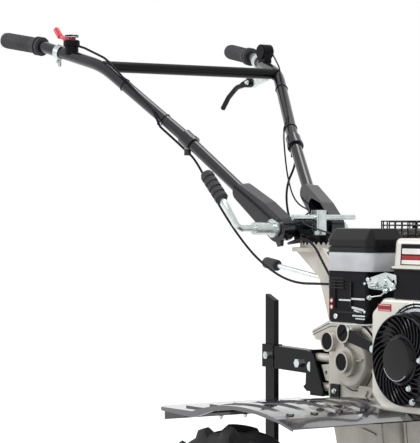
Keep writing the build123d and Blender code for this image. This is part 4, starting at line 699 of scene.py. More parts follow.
class TRACTOR_OT_tyres(bpy.types.Operator):
    """Makes the two tyres with their slanting tread bars"""

    bl_idname = "tractor.tyres"
    bl_label = "Tyres"

    def execute(self, context):
        tread = context.scene.tractor_tread
        for side, name in ((-1, "right"), (1, "left")):
            surface = self.casing(tread, side)
            make_piece(f"treaded_tyre_{name}", [surface], "tyre", "wheels", (f"tyre_{name}",))
        return {"FINISHED"}

    def casing(self, tread, side):
        """Section turned about the axle. At angle a and distance y from the middle plane,
        radius = section's own + bar height * m(a) * m(y), and a leans forward by
        |y| * slant / radius of the bars' middle, so each bar lies along a row; the two sides' bars
        are half a pitch apart."""
        half = rounded(CARCASS, CARCASS_BENDS, 6, closed=False)
        wall = np.array(INNER_WALL)
        outer = np.concatenate([half, half[-2::-1] * (-1, 1)])
        section = np.concatenate([outer, wall[::-1] * (-1, 1), wall[1:]])
        y, radius = section.T
        step, rise = np.array(TREAD_BAR).T
        turn = (np.arange(tread.bars)[:, None] + step).ravel() / tread.bars
        bar = np.tile(rise, tread.bars)
        half_pitch = (turn + 0.5 / tread.bars) % 1
        other_bar = np.interp(half_pitch, np.append(turn, 1.0), np.append(bar, bar[0]))
        outside = np.arange(len(section)) < len(outer)
        shoulder = np.clip((radius - SHOULDER) / SHOULDER_WIDTH, 0, 1)
        crown = np.clip(np.abs(y) / 6, 0, 1)
        reach = np.where(outside, np.minimum(shoulder, crown), 0) * tread.height * MM
        raised = np.where(y > 0, bar[:, None], other_bar[:, None]) * reach
        full = np.minimum(radius + raised, TREAD_RADIUS - TREAD_CROWN * y**2)
        lean = np.where(outside, np.abs(y) * TREAD_SLANT / BAR_MIDDLE, 0)
        angle = turn[:, None] * 2 * math.pi - lean
        x, z = full * np.cos(angle), full * np.sin(angle)
        place = AXLE + (0, side * TRACK / 2, 0)
        return skin(place + np.stack([x, np.broadcast_to(y, x.shape), z], -1), loop=True)


# ---- fasteners ----------------------------------------------------------------------------
# height, radius and hexagon share down each: an 8 mm bolt with its washer, a nut on a stud, a
# round-headed screw
BOLT = ((0, 8.5, 0), (1.4, 8.5, 0), (1.4, 7.4, 1), (6.2, 7.4, 1), (6.9, 6.6, 0))
NUT = (*BOLT[:3], (7.4, 7.4, 1), (8, 6.6, 0), (8, 4, 0), (11, 4, 0), (11.6, 3.3, 0))
SCREW = ((0, 5, 0), (1.5, 5, 0), (2.8, 3.8, 0), (3.1, 2, 0))
CRANK = np.array((555.0, 0, -230.0))
CLUTCH_REAR = np.array((217.0, 0, -225.0))
# corners of the gearbox: forward, up and radius
CASE = np.array(((162, -228, 24), (164, -322, 28), (236, -258, 64), (270, -562, 68)), float)
# corner of the case and directions in degrees of the bolts round its flange, and centre, radius and
# directions of the bolts round the belt case
FLANGE_BOLTS = ((0, (165,)), (1, (190,)), (3, (190, 235, 305, 350)))
BELT_CASE_BOLTS = ((CRANK, 61, range(20, 380, 60)), (CLUTCH_REAR, 48, (90, 150, 210, 270)))
BELT_CASE_FACE = 142.0
WHEEL_BOLT_CIRCLE = 38


class TRACTOR_OT_fasteners(bpy.types.Operator):
    """Makes the bolts, nuts and screws of the chassis and the wheels"""

    bl_idname = "tractor.fasteners"
    bl_label = "Fasteners"

    def execute(self, context):
        flange = []
        for corner, degrees in FLANGE_BOLTS:
            x, z, radius = CASE[corner]
            flange.append(on_circle((x, -6.1, z), radius + 7, degrees))
        post_base = [(x, y, -167.6) for x in (158, 206) for y in (-40, 40)]
        feet = [(x, y, -320) for x in (470, 649) for y in (-95, 50)]
        belt_case = np.concatenate([on_circle(*row) for row in BELT_CASE_BOLTS])
        hitch = [(166, -54.4, -320), (300, -68.4, -333)]
        bolts = [
            turned(BOLT, *both_sides(np.concatenate(flange)), scale=0.8),
            turned(BOLT, post_base, UP, scale=0.9),
            turned(BOLT, feet, UP),
            turned(BOLT, belt_case + (0, BELT_CASE_FACE, 0), LEFT, scale=0.75),
            turned(BOLT, [(318, -73.5, -228)], RIGHT, scale=1.05),
            turned(BOLT, [(238, -72.0, -195)], RIGHT, scale=0.62),
            turned(BOLT, *both_sides(hitch), scale=0.62),
            turned(SCREW, [(636, -188, -306), (640, -188, -150)], RIGHT),
            turned(SCREW, [(434, -188, -98), (434, -188, -150)], RIGHT, scale=0.6),
            turned(NUT, [(373, -22, 8), (427, -22, 8)], UP, scale=0.7),
        ]
        make_piece("bolts", bolts, "zinc", bevel=0.3)
        rim = on_circle(AXLE - (0, TRACK / 2, 0), WHEEL_BOLT_CIRCLE, (45, 135, 225, 315))
        heads = turned(BOLT, *both_sides(rim), scale=0.95)
        make_piece("wheel_bolts", [heads], "zinc", "wheels", bevel=0.3)
        boss = ((0, 10, 0), (22, 9.4, 0), (23, 8.6, 0))
        make_piece("bolt_boss", [turned(boss, [(238, -49, -195)], RIGHT, 24)], "cast_aluminium")
        skirts = [(53, side * y, -366.8) for y in (190, 248) for side in (-1, 1)]
        make_piece("skirt_bolts", [turned(NUT, skirts, (0, 0, -1), scale=0.6)], "zinc")
        return {"FINISHED"}


# ---- gearbox ------------------------------------------------------------------------------
# lower edges of the gasket lines under the shift cover and between its two plates: forward, up
COVER_GASKETS = (
    ((85.5, -213.6), (145.6, -193.8), (222.6, -190.8)),
    ((84.4, -208.9), (143.8, -187.2), (222.6, -186.4)),
)
SWIVEL_X = 42
TOOTH_COUNT = 24
TOOTH_FOOT = -35.4
TOOTH_HEIGHT = 8.2
CROWN_FOOT = -38.8
CROWN_RADIUS, CROWN_WALL = 38.5, 0.45


class TRACTOR_OT_gearbox_details(bpy.types.Operator):
    """Makes the gasket lines between the castings, a painted shadow ring round the bulge on each side, and the
    ribs of the gearbox's side
    """

    bl_idname = "tractor.gearbox_details"
    bl_label = "Gearbox details"

    def execute(self, context):
        gaskets_and_painted_shadow_rings = [upright(hull(CASE + (0, 0, 7.6)), 0.5, 1.0, 0.1)]
        for lower in np.array(COVER_GASKETS):
            outline = np.concatenate([lower, lower[::-1] + (0, 1.3)])
            gaskets_and_painted_shadow_rings.append(upright(outline, 48.5, 97.0, 0.1))
        # a dark ring round the bulge on each side: painted shadow of the gap where the bulge meets the case
        bulge = on_circle((227, -51.0, -258), 57.4, np.arange(0, 360, 5))
        gaskets_and_painted_shadow_rings += [tube(bulge * side, 1.0, 6, loop=True) for side in ((1, 1, 1), MIRROR)]
        make_piece("gaskets_and_painted_shadow_rings", gaskets_and_painted_shadow_rings, "gasket")
        ribs = [
            upright(strip((218, -221), (224, -238), 5), -60, 14),
            upright(strip((254, -256), (272, -252), 4), -62, 9),
            upright(strip((186, -232), (200, -244), 5), -48, 12),
        ]
        for step in range(4):
            low, high = (268 + 16 * step, -338), (284 + 14 * step, -312 - 4 * step)
            ribs.append(upright(strip(low, high, 4), -62, 5))
        for step in range(3):
            rear, front = (252, -344 - 44 * step), (290, -352 - 44 * step)
            ribs.append(upright(strip(rear, front, 5), -48, 5))
        ribs += [(points * MIRROR, faces) for points, faces in ribs]
        make_piece("gearbox_ribs", ribs, "cast_aluminium", bevel=0.4)
        return {"FINISHED"}


class TRACTOR_OT_crown_teeth(bpy.types.Operator):
    """Makes the ring of teeth under the handlebar's swivel"""

    bl_idname = "tractor.crown_teeth"
    bl_label = "Crown teeth"

    def execute(self, context):
        """A thin ring whose top = foot + height * (1.06 - |2 (n a / 2 pi mod 1) - 1|), held between
        0.04 and 0.98 of the height."""
        turn = np.arange(TOOTH_COUNT * 8) / (TOOTH_COUNT * 8)
        wave = np.abs(2 * ((turn * TOOTH_COUNT) % 1) - 1)
        top = TOOTH_FOOT + TOOTH_HEIGHT * np.clip(1.06 - wave, 0.04, 0.98)
        radius = CROWN_RADIUS - np.array((CROWN_WALL, 0, 0, CROWN_WALL))
        low = np.full_like(top, CROWN_FOOT)
        height = np.stack([low, low, top, top], -1)
        angle = turn[:, None] * 2 * math.pi
        x, y = radius * np.cos(angle) + SWIVEL_X, radius * np.sin(angle)
        ring = skin(np.stack([x, y, height], -1), loop=True)
        make_piece("crown_teeth", [ring], "cast_aluminium")
        return {"FINISHED"}


# ---- engine -------------------------------------------------------------------------------
COVER_FACE = -188.2  # outer face of the fan shroud, which the recoil cover seats on
FIN_FLOOR = 8
FIN_RISE = 7.2
FIN_SWEEP = 0.5  # radians that a fin leans across the ring
FIN_INNER, FIN_OUTER = 47.5, 76.5
# the recoil cover's front from the crankshaft to the ring of fins, and from there round to its
# back: radius, height
COVER_HUB = ((0, 25), (30, 25), (36.5, 24.6), (38.6, 23), (41.2, 15.6), (45.5, 15), (47, 8))
COVER_RIM = (
    (77, 8), (78.5, 15), (80.8, 14.6), (82, 12.5), (84.6, 3), (85, 1.2), (84.8, 0.1), (79, 0.1),
    (78, 5), (0, 5),
)  # fmt: skip
# height, length and width of the air filter's bowl, from its foot up
FILTER_BOWL = (
    (-76, 130, 82), (-74.5, 131.4, 83.4), (-60, 132.6, 84.6), (-42.5, 133.4, 85.4),
    (-41.3, 132.4, 84.4),
)  # fmt: skip
# one fin: share of the pitch, share of the fin's rise
FIN = ((0.0, 0.0), (0.05, 0.9), (0.12, 1.0), (0.30, 1.0), (0.37, 0.9), (0.42, 0.0), (0.70, 0.0))


class TRACTOR_OT_recoil_cover(bpy.types.Operator):
    """Makes the recoil starter's cover with its swirling fins round a blank hub"""

    bl_idname = "tractor.recoil_cover"
    bl_label = "Recoil cover"

    def execute(self, context):
        cover = self.cover(context.scene.tractor_engine.fins)
        make_piece("finned_recoil_cover", [cover], "gloss_black", replaced=("recoil_cover",))
        bosses = on_circle(CRANK + (0, -196, 0), 56, (-62, 2))
        ears = on_circle(CRANK + (0, -188.3, 0), 80, (-66, 20))
        boss = ((0, 8.5, 0), (7.6, 8, 0), (8.2, 7, 0))
        ear = ((0, 11, 0), (11.5, 9.5, 0), (12.2, 8.5, 0))
        feet = [turned(boss, bosses, RIGHT), turned(ear, ears, RIGHT)]
        make_piece("recoil_bosses", feet, "gloss_black")
        # grey arc along the lower edge of the hub's face: a painted highlight
        hub_highlight_arc = on_circle(CRANK + (0, -212.6, 0), 37.2, np.arange(205, 320, 5))
        make_piece("recoil_painted_highlight", [tube(hub_highlight_arc, 0.7, 6)], "grey_plastic")
        heads = [
            turned(BOLT, bosses + (0, -8, 0), RIGHT, scale=0.62),
            turned(BOLT, ears + (0, -12, 0), RIGHT, scale=0.7),
        ]
        make_piece("recoil_bolts", heads, "zinc", bevel=0.3)
        return {"FINISHED"}

    def cover(self, fins):
        """Section turned about the crankshaft. In the ring between hub and rim,
        height = floor + rise * m(a), and a leans by the sweep across the ring, so that each fin
        lies along a row of points."""
        ring = [(radius, FIN_FLOOR) for radius in np.linspace(FIN_INNER, FIN_OUTER, 12)]
        radius, out = np.array([*COVER_HUB, *ring, *COVER_RIM]).T
        step, rise = np.array(FIN).T
        turn = ((np.arange(fins)[:, None] + step).ravel() / fins)[:, None]
        within = (radius >= FIN_INNER) & (radius <= FIN_OUTER) & (out == FIN_FLOOR)
        raised = out + np.where(within, np.tile(rise, fins)[:, None] * FIN_RISE, 0)
        angle = turn * 2 * math.pi + FIN_SWEEP * np.clip((radius - 47) / 30, 0, 1)
        x, z = radius * np.cos(angle), radius * np.sin(angle)
        return skin(CRANK + (0, COVER_FACE, 0) + np.stack([x, -raised, z], -1), loop=True)


class TRACTOR_OT_shroud_details(bpy.types.Operator):
    """Makes the blank plate on the shroud, and the air grille behind the recoil cover, with zinc arcs and a grey
    band that paint highlights on the grille
    """

    bl_idname = "tractor.shroud_details"
    bl_label = "Shroud details"

    def execute(self, context):
        label = plate(493, -139.5, 38, 13, 1.5, -187.9, 0.9, 0.2)
        make_piece("blank_shroud_plate", [label], "blank_red")
        bands = [plate(493, z, 31, 1.0, 0.3, -188.7, 0.5, 0.1) for z in (-135.0, -144.0)]
        make_piece("blank_shroud_bands", bands, "blank_white")
        way = self.ways(134, 50, 36)
        middle = np.array((588.0, -229.0))
        inner = CRANK[[0, 2]] + 82 * self.ways(36, 122, 30)
        grille = upright(np.concatenate([middle + 103 * way, inner]), -187.9, 2.0)
        make_piece("air_grille", [grille], "gloss_black")
        # two zinc arcs along the grille's outer edge: painted highlights on its rim
        rim_highlight_arcs = []
        for radius, wire in ((101.5, 1.1), (96.0, 0.8)):
            x, z = (middle + radius * way).T
            rim_highlight_arcs.append(tube(np.column_stack([x, np.full(len(x), -189.8), z]), wire, 8))
        make_piece("grille_highlight_arcs", rim_highlight_arcs, "zinc")
        # grey band along the top of the grille: a painted highlight
        edges = np.concatenate([middle + 91.5 * way[4:], middle + 86.5 * way[:3:-1]])
        make_piece("grille_painted_highlight_band", [upright(edges, -188.5, 2.4, 0.5)], "grey_plastic")
        bars = []
        for out in self.ways(60, 120, 6):
            bars.append(upright(strip(middle + 92 * out, middle + 101 * out, 2), -188.5, 2.6))
        make_piece("grille_bars", bars, "gloss_black")
        return {"FINISHED"}

    def ways(self, start, end, count):
        """Unit vectors, forward and up, at evenly spaced angles in degrees: (cos a, sin a)."""
        angle = np.radians(np.linspace(start, end, count))
        return np.stack([np.cos(angle), np.sin(angle)], -1)


class TRACTOR_OT_tank_details(bpy.types.Operator):
    """Makes the blank panel and bands on the tank's side, and its seam"""

    bl_idname = "tractor.tank_details"
    bl_label = "Tank details"

    def execute(self, context):
        make_piece("tank_panel", [self.band(-61.5, -24, 0.8, 536, 654)], "black_plastic")
        make_piece("blank_tank_bands", [self.band(-42, -32), self.band(-60, -52.5)], "blank_white")
        make_piece("blank_tank_stripe", [self.band(-51.5, -44.5)], "blank_red")
        seam = tube(rim_path((595, -92), (198, 198), 33, -69.2), 1.3, 8, loop=True)
        make_piece("tank_seal", [seam], "gasket")
        return {"FINISHED"}

    def band(self, low, high, thickness=1.4, rear=540.0, front=650.0):
        """A plate between two heights on the tank's side, which leans inwards by 0.07 as it
        rises."""
        foot = -64
        middle = ((rear + front) / 2, (high + low) / 2 - foot)
        outline = box_outline(front - rear, high - low, 1.5) + middle
        return slab(outline, (0, -186.9, foot), FORWARD, (0, 0.07, 1), thickness, 0.2)


class TRACTOR_OT_carburettor_details(bpy.types.Operator):
    """Makes the ribs, levers and small plates on the carburettor's cover, and the linkage's upper
    parts"""

    bl_idname = "tractor.carburettor_details"
    bl_label = "Carburettor details"

    def execute(self, context):
        ribs = [plate(348, z, 46, 2.2, 0.8, -185.5, 3.4) for z in (-90, -96, -102, -108)]
        ribs += [plate(390, -152.5, 70, 3, 1, -186, 3.2), plate(392, -120, 4, 48, 1, -185, 3.8)]
        make_piece("cover_ribs", ribs, "gloss_black", bevel=0.7)
        wire = [(322, -186.8, -173.6), (380, -187.2, -175), (440, -186.8, -174), (455, -181, -172)]
        levers = [
            plate(375, -130, 36, 3.2, 1, -185.6, 3.4),
            plate(415, -127, 39, 3.6, 1, -185.6, 3.8),
            upright(strip((398, -143), (430, -147), 4.5), -186, 3.2),
            upright(strip((404, -148), (424, -152), 3), -186, 3.2),
            upright(strip((400, -158), (434, -158), 3), -187.6, 2),
            upright(strip((408, -163), (434, -163.5), 2.2), -187.6, 1.6),
            turned(((0, 5.5, 0), (3, 5.5, 0), (4, 4.6, 0)), [(349, -187.6, -161)], RIGHT),
            tube(wire, 1.6, 8),
        ]
        make_piece("choke_levers", levers, "zinc", bevel=0.3)
        rings, discs = [], []
        for z in (-132, -144):
            circle = on_circle((334, -188.2, z), 4.6, np.arange(0, 360, 15))
            rings.append(tube(circle, 1.1, 6, loop=True))
            discs.append(turned(((0, 3.4, 0), (0.8, 3.2, 0)), [(334, -187.9, z)], RIGHT))
        make_piece("choke_rings", rings, "blank_red")
        make_piece("choke_discs", discs, "blank_white")
        rod = [(502, -192, -109), (486, -191.5, -118), (462, -190.5, -121), (452, -190.5, -123)]
        linkage = [
            upright(strip((448, -96), (500, -90), 5), -190, 2.2),
            upright(strip((500, -86), (524, -100), 7), -191, 2),
            turned(NUT, [(502, -192.6, -109), (452, -190, -123)], RIGHT, scale=0.55),
            turned(SCREW, [(448, -191, -90), (520, -192.6, -98)], RIGHT, scale=0.9),
            helix((462, -193.6, -104), (500, -193.6, -106), 2.6, 9, 0.7),
            tube(rod, 1.3, 8),
        ]
        make_piece("linkage_levers", linkage, "zinc", bevel=0.2)
        return {"FINISHED"}


class TRACTOR_OT_air_filter_details(bpy.types.Operator):
    """Makes the air filter's smooth bowl, the beads round it, grey lines of painted highlight on its cover, and
    the nut on its cover
    """

    bl_idname = "tractor.air_filter_details"
    bl_label = "Air filter details"

    def execute(self, context):
        middle = (392, -152)
        for name, finish, size, corner, heights in (
            # two grey lines on the black cover: painted edge highlights
            ("filter_painted_highlight_lines", "gasket", (129, 81), 13.5, (-31.2, -28.4)),
            ("filter_beads", "gloss_black", (134.4, 86.4), 15.5, (-34.8, -40.2, -18.0)),
        ):
            rims = [tube(rim_path(middle, size, corner, z), 0.9, 6, loop=True) for z in heights]
            make_piece(name, rims, finish)
        nut = ((0, 9, 0), (3, 9, 0), (4.6, 7, 0), (5, 4, 0))
        make_piece("filter_nut", [turned(nut, [(*middle, 1.5)], UP, 24, 0.4)], "zinc")
        bowl = skin(np.stack([rim_path(middle, size, 15, z) for z, *size in FILTER_BOWL]))
        make_piece("filter_bowl", [bowl], "grey_plastic", replaced=("air_filter_bowl",))
        return {"FINISHED"}


class TRACTOR_OT_muffler_guard(bpy.types.Operator):
    """Makes the wire cage round the muffler"""

    bl_idname = "tractor.muffler_guard"
    bl_label = "Muffler guard"

    def execute(self, context):
        wire = context.scene.tractor_engine.guard_wire * MM / 2
        foot, top, spacing = -50, 17, 18
        x, y = 400.0, -22.0
        size = np.array((122.0, 132.0)) - 2 * wire
        heights = (top - wire, 8.0, -10, -28, foot + wire)
        cage = [tube(rim_path((x, y), size, 26, z), wire, 8, loop=True) for z in heights]
        outline = rim_path((x, y), size, 26, 0.0, 9)
        ring = np.vstack([outline, outline[:1]])
        along = np.append(0, np.cumsum(np.linalg.norm(np.diff(ring, axis=0), axis=1)))
        count = int(round(along[-1] / spacing))
        spots = np.arange(count) / count * along[-1]
        feet = np.stack([np.interp(spots, along, column) for column in ring.T], -1)
        cage.append(turned(((foot + wire, wire, 0), (top - wire, wire, 0)), feet, UP, 8))
        for out in np.arange(-45, 46, spacing):
            half = 63 if abs(out) < 40 else 54
            ends = [(x + out, y + end, top - wire) for end in (-half, half)]
            cage.append(tube(ends, wire, 8))
        for out in (-36, 0, 36):
            cage.append(tube([(x + end, y + out, 14.5) for end in (-58, 58)], wire, 8))
        cage.append(turned(((2.3, 4, 0), (14.5, 4, 0)), [(373, y, 0), (427, y, 0)], UP, 12))
        make_piece("wire_guard", cage, "black_paint", replaced=("muffler_guard",))
        return {"FINISHED"}


class TRACTOR_OT_engine_left(bpy.types.Operator):
    """Makes the belt case's caps, the oil fillers and the drain plug"""

    bl_idname = "tractor.engine_left"
    bl_label = "Engine left side"

    def execute(self, context):
        hub = ((0, 26, 0), (2, 26, 0), (4, 23, 0), (4.4, 10, 0))
        out = (0, BELT_CASE_FACE + 0.1, 0)
        caps = [turned(hub, CRANK + out, LEFT, 32), turned(hub, CLUTCH_REAR + out, LEFT, 32, 0.8)]
        make_piece("belt_cover_caps", caps, "black_plastic")
        filler = ((0, 11, 0), (5, 11, 0), (5, 13, 1), (13, 13, 1), (14.5, 11, 0))
        plugs = turned(filler, [(626, -60, -292), (626, 24, -292)], (0.8, 0, -0.6), 18, 0.8)
        make_piece("oil_fillers", [plugs], "black_plastic")
        make_piece("drain_plug", [turned(BOLT, [(640.2, -20, -312)], FORWARD, scale=1.1)], "steel")
        return {"FINISHED"}


# ---- handlebar and frame ------------------------------------------------------------------
# height, radius and hexagon share down a grip's rib and the lock grip's end
GRIP_RIB = ((0, 16.9, 0), (0.5, 17.7, 0), (1.5, 17.9, 0), (2.5, 17.7, 0), (3, 16.9, 0))
LOCK_END = ((-1, 11.4, 0), (4, 12.6, 0), (8.2, 11.2, 0), (9.6, 7, 0))
LOCK_KNOB = np.array((-66.0, -201, 106))
LOCK_RUN = unit(LOCK_KNOB - (-10, -193, 46))
THROTTLE_SEAT = BAR[2] + UPPER_RUN * 98 + (0, 0, BAR_RADIUS + 2)
THROTTLE_CLAMP = BAR[2] + UPPER_RUN * 136
CLUTCH_PIVOT = np.array((-592.0, 276, 338))
CROSSBAR_END = np.array((-425.0, -219, 347))


class TRACTOR_OT_grip_ribs(bpy.types.Operator):
    """Makes the fine ribs round the grips, and the rolled end of the lock's grip"""

    bl_idname = "tractor.grip_ribs"
    bl_label = "Grip ribs"

    def execute(self, context):
        pitch = context.scene.tractor_controls.rib_pitch * MM
        places = BAR[-1] - GRIP_RUN * np.arange(8, 94, pitch)[:, None]
        both = np.concatenate([places, places * MIRROR])
        ways = np.repeat([GRIP_RUN, GRIP_RUN * MIRROR], len(places), 0)
        ribs = turned(GRIP_RIB, both, ways, 28)
        end = turned(LOCK_END, LOCK_KNOB - LOCK_RUN * 2, LOCK_RUN, 24)
        make_piece("grip_ribs", [ribs, end], "black_rubber", "handlebar")
        return {"FINISHED"}


class TRACTOR_OT_control_details(bpy.types.Operator):
    """Makes the screws, dial, rings, button and spring of the hand controls"""

    bl_idname = "tractor.control_details"
    bl_label = "Control details"

    def execute(self, context):
        seat, clamp, pivot = THROTTLE_SEAT, THROTTLE_CLAMP, CLUTCH_PIVOT
        screws = [
            turned(BOLT, seat + (0, 0, 29.8), UP, scale=0.5),
            turned(NUT, clamp - (0, 0, 25.5), (0, 0, -1), scale=0.62),
            turned(BOLT, clamp - (0, 4.5, 20), RIGHT, scale=0.6),
            turned(BOLT, pivot + (0, 12.2, 0), LEFT, scale=0.66),
            turned(NUT, pivot - (0, 12.2, 0), RIGHT, scale=0.66),
            turned(BOLT, (clamp + (0, 0, BAR_RADIUS + 3)) * MIRROR, UP, scale=0.6),
            helix(pivot + (-14, -7, 14), pivot + (8, -7, 22), 4.2, 7, 0.8),
        ]
        make_piece("control_screws", screws, "zinc", "handlebar", bevel=0.25)
        foot = seat + (0, 0, 25.4)
        dial = ((0, 15, 0), (4.4, 15.6, 0), (6, 14, 0), (6, 10, 0), (4.8, 9, 0), (4.8, 3, 0))
        make_piece("throttle_dial", [turned(dial, foot, UP, 32)], "gloss_black", "handlebar")
        rings = [
            tube(ring_path(foot + (0, 0, rise), UP, radius), 0.6, 6, loop=True)
            for rise, radius in ((5.6, 14.2), (1, 15.2))
        ]
        make_piece("throttle_rings", rings, "zinc", "handlebar")
        switch = seat * MIRROR + (4, -1, 16)
        button = ((0, 12.5, 0), (1.6, 12.5, 0), (3.4, 11, 0), (4, 8, 0))
        red = turned(button, switch + (0, 12.8, 0), LEFT, 28)
        make_piece("stop_button", [red], "red_plastic", "handlebar")
        bezel = ((0, 16.2, 0), (1.2, 16.2, 0), (1.8, 15.4, 0))
        sides = ((-12.8, RIGHT), (12.6, LEFT))
        bezels = [turned(bezel, switch + (0, out, 0), way, 28) for out, way in sides]
        make_piece("switch_bezels", bezels, "black_plastic", "handlebar")
        return {"FINISHED"}


class TRACTOR_OT_welds(bpy.types.Operator):
    """Makes the weld beads of the handlebar, bumper, stand, hitch and stake holder"""

    bl_idname = "tractor.welds"
    bl_label = "Welds"

    def execute(self, context):
        size = context.scene.tractor_controls.bead * MM / 2
        ends = (CROSSBAR_END, CROSSBAR_END * MIRROR)
        bars = [weld_bead(ring_path(end, LEFT, 11.2), size) for end in ends]
        make_piece("bar_welds", bars, "black_paint", "handlebar")
        welds = [weld_bead(ring_path((732.5, y, -363.3), FORWARD, 11.4), size) for y in (-40, 40)]
        sides = ((-12.2, -247), (12.2, -247), (12.2, -291), (-12.2, -291))
        arm = [(-100.6, y, z) for y, z in sides]
        edges = [spread(start, end, 16)[:-1] for start, end in zip(arm, arm[1:] + arm[:1])]
        welds.append(weld_bead(np.concatenate(edges), size * 0.8))
        for y in (-28.2, 28.2):
            line = spread((81.6, y, -251), (81.6, y, -328), 30)
            welds.append(tube(line, size * (1 + 0.25 * np.sin(np.arange(30) * 2.0)), 8))
        make_piece("frame_welds", welds, "black_paint")
        stand = [weld_bead(ring_path((700.4, y, -400.5), UP, 8.2), size * 0.9) for y in (-100, 100)]
        stand += [weld_bead(ring_path((712, y, -680), LEFT, 6.2), size * 0.8) for y in (-92, 92)]
        make_piece("stand_welds", stand, "black_paint", "parking_stand")
        return {"FINISHED"}


# ---- stage --------------------------------------------------------------------------------
LAMPS = (  # name, place and size in metres, power in watts
    ("key_lamp", (2.2, -3.0, 3.6), 1.3, 80.0),
    ("fill_lamp", (-2.6, -2.2, 2.2), 1.3, 30.0),
    ("top_lamp", (0.0, 0.6, 4.0), 1.6, 45.0),
)
LAMP_TARGET = Vector((0, 0, 0.7))
WHITE = (1, 1, 1, 1)
FLOOR_HALF = 60
FLOOR_GLOW = 0.6
SKY_LIGHT = 0.6
CAMERA_PLACE = (3464, -2553, 34)
CAMERA_TURN, CAMERA_TILT = math.radians(56.25), math.radians(0.273)
CAMERA_LENS = 170.3


def when_seen(tree):
    """A value that is 1 for a camera, glossy or transmission ray, and 0 for the light that falls on
    things."""
    rays = add_node(tree, "ShaderNodeLightPath").outputs
    seen = rays["Is Camera Ray"]
    for ray in ("Is Glossy Ray", "Is Transmission Ray"):
        seen = combined(tree, "MAXIMUM", seen, rays[ray])
    return seen


def combined(tree, operation, first, second):
    """What a maths node makes of a value and a second value or number."""
    node = add_node(tree, "ShaderNodeMath", {"operation": operation})
    tree.links.new(first, node.inputs[0])
    if isinstance(second, float):
        node.inputs[1].default_value = second
    else:
        tree.links.new(second, node.inputs[1])
    return node.outputs["Value"]


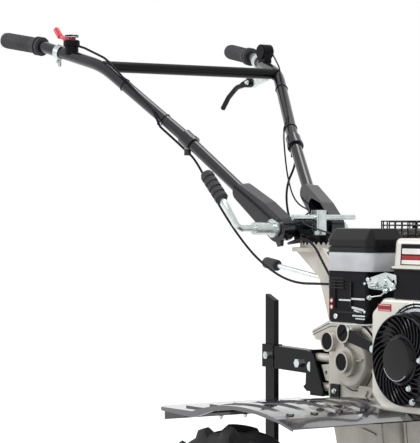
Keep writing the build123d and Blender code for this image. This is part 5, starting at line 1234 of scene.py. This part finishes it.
class TRACTOR_OT_stage(bpy.types.Operator):
    """Puts up the floor, the lamps, the backdrop and the camera"""

    bl_idname = "tractor.stage"
    bl_label = "Stage"

    def execute(self, context):
        scene = context.scene
        scene.view_settings.view_transform = "Standard"
        self.lay_floor(scene, scene.tractor_studio.floor)
        self.hang_backdrop(scene)
        self.light(scene, scene.tractor_studio.lamp_power)
        self.place_camera(scene)
        return {"FINISHED"}

    def lay_floor(self, scene, shade):
        """A matt floor that also glows for rays that see it, so it reads white round its shadows"""
        corners = [(-1, -1, 0), (1, -1, 0), (1, 1, 0), (-1, 1, 0)]
        mesh = bpy.data.meshes.new("floor")
        mesh.from_pydata([Vector(corner) * FLOOR_HALF for corner in corners], [], [(0, 1, 2, 3)])
        floor = bpy.data.objects.new("floor", mesh)
        scene.collection.objects.link(floor)
        matt = {"Specular IOR Level": 0.1}
        material, tree, shader = new_material("matt_floor_paint", shade, 0.9, **matt)
        strength = combined(tree, "MULTIPLY", when_seen(tree), FLOOR_GLOW)
        glow = add_node(tree, "ShaderNodeEmission", {"Color": WHITE}, Strength=strength)
        both = add_node(tree, "ShaderNodeAddShader")
        tree.links.new(shader.outputs["BSDF"], both.inputs[0])
        tree.links.new(glow.outputs["Emission"], both.inputs[1])
        end = next(node for node in tree.nodes if node.type == "OUTPUT_MATERIAL")
        tree.links.new(both.outputs["Shader"], end.inputs["Surface"])
        mesh.materials.append(material)

    def hang_backdrop(self, scene):
        """A soft even light from all round, which rays that see it find white"""
        world = bpy.data.worlds.new("studio")
        scene.world = world
        world.use_nodes = True
        tree = world.node_tree
        tree.nodes.clear()
        mix = add_node(tree, "ShaderNodeMixShader", Fac=when_seen(tree))
        for place, strength in ((1, SKY_LIGHT), (2, 1.0)):
            light = add_node(tree, "ShaderNodeBackground", {"Color": WHITE, "Strength": strength})
            tree.links.new(light.outputs[0], mix.inputs[place])
        add_node(tree, "ShaderNodeOutputWorld", Surface=mix.outputs[0])

    def light(self, scene, share):
        """Three soft lamps that face the machine"""
        for name, place, size, power in LAMPS:
            lamp = bpy.data.lights.new(name, "AREA")
            lamp.energy = power * share
            lamp.size = size
            stand = bpy.data.objects.new(name, lamp)
            stand.location = place
            stand.rotation_euler = (LAMP_TARGET - Vector(place)).to_track_quat("-Z", "Y").to_euler()
            scene.collection.objects.link(stand)

    def place_camera(self, scene):
        """A long lens at the handlebar hub's height, from the machine's front right"""
        camera = bpy.data.cameras.new("camera")
        camera.lens = CAMERA_LENS
        camera.sensor_width = 36.0
        camera.clip_end = 200.0
        eye = bpy.data.objects.new("camera", camera)
        level, rise = math.cos(CAMERA_TILT), math.sin(CAMERA_TILT)
        back = Vector((math.sin(CAMERA_TURN) * level, -math.cos(CAMERA_TURN) * level, rise))
        eye.location = to_frame(CAMERA_PLACE)
        eye.rotation_euler = back.to_track_quat("Z", "Y").to_euler()
        scene.collection.objects.link(eye)
        scene.camera = eye


class TRACTOR_PT_panel(bpy.types.Panel):
    """Lists the pieces and the settings"""

    bl_idname = "TRACTOR_PT_panel"
    bl_label = "Hand tractor"
    bl_space_type = "VIEW_3D"
    bl_region_type = "UI"
    bl_category = "Hand tractor"

    def draw(self, context):
        for settings in SETTINGS:
            group = getattr(context.scene, settings)
            for name in group.__annotations__:
                self.layout.prop(group, name)
        for operator in OPERATORS:
            self.layout.operator(operator.bl_idname)


SETTINGS = {
    "tractor_paint": PaintSettings,
    "tractor_tread": TreadSettings,
    "tractor_engine": EngineSettings,
    "tractor_controls": ControlSettings,
    "tractor_studio": StudioSettings,
}
OPERATORS = (
    TRACTOR_OT_finishes,
    TRACTOR_OT_cables,
    TRACTOR_OT_cable_ties,
    TRACTOR_OT_tyres,
    TRACTOR_OT_fasteners,
    TRACTOR_OT_gearbox_details,
    TRACTOR_OT_crown_teeth,
    TRACTOR_OT_recoil_cover,
    TRACTOR_OT_shroud_details,
    TRACTOR_OT_tank_details,
    TRACTOR_OT_carburettor_details,
    TRACTOR_OT_air_filter_details,
    TRACTOR_OT_muffler_guard,
    TRACTOR_OT_engine_left,
    TRACTOR_OT_grip_ribs,
    TRACTOR_OT_control_details,
    TRACTOR_OT_welds,
    TRACTOR_OT_stage,
)
CLASSES = (*SETTINGS.values(), *OPERATORS, TRACTOR_PT_panel)


def register():
    for cls in CLASSES:
        bpy.utils.register_class(cls)
    for name, group in SETTINGS.items():
        setattr(bpy.types.Scene, name, bpy.props.PointerProperty(type=group))


def unregister():
    for name in SETTINGS:
        delattr(bpy.types.Scene, name)
    for cls in reversed(CLASSES):
        bpy.utils.unregister_class(cls)


def main():
    register()
    for operator in OPERATORS:
        getattr(bpy.ops.tractor, operator.bl_idname.removeprefix("tractor."))()


if __name__ == "__main__":
    main()
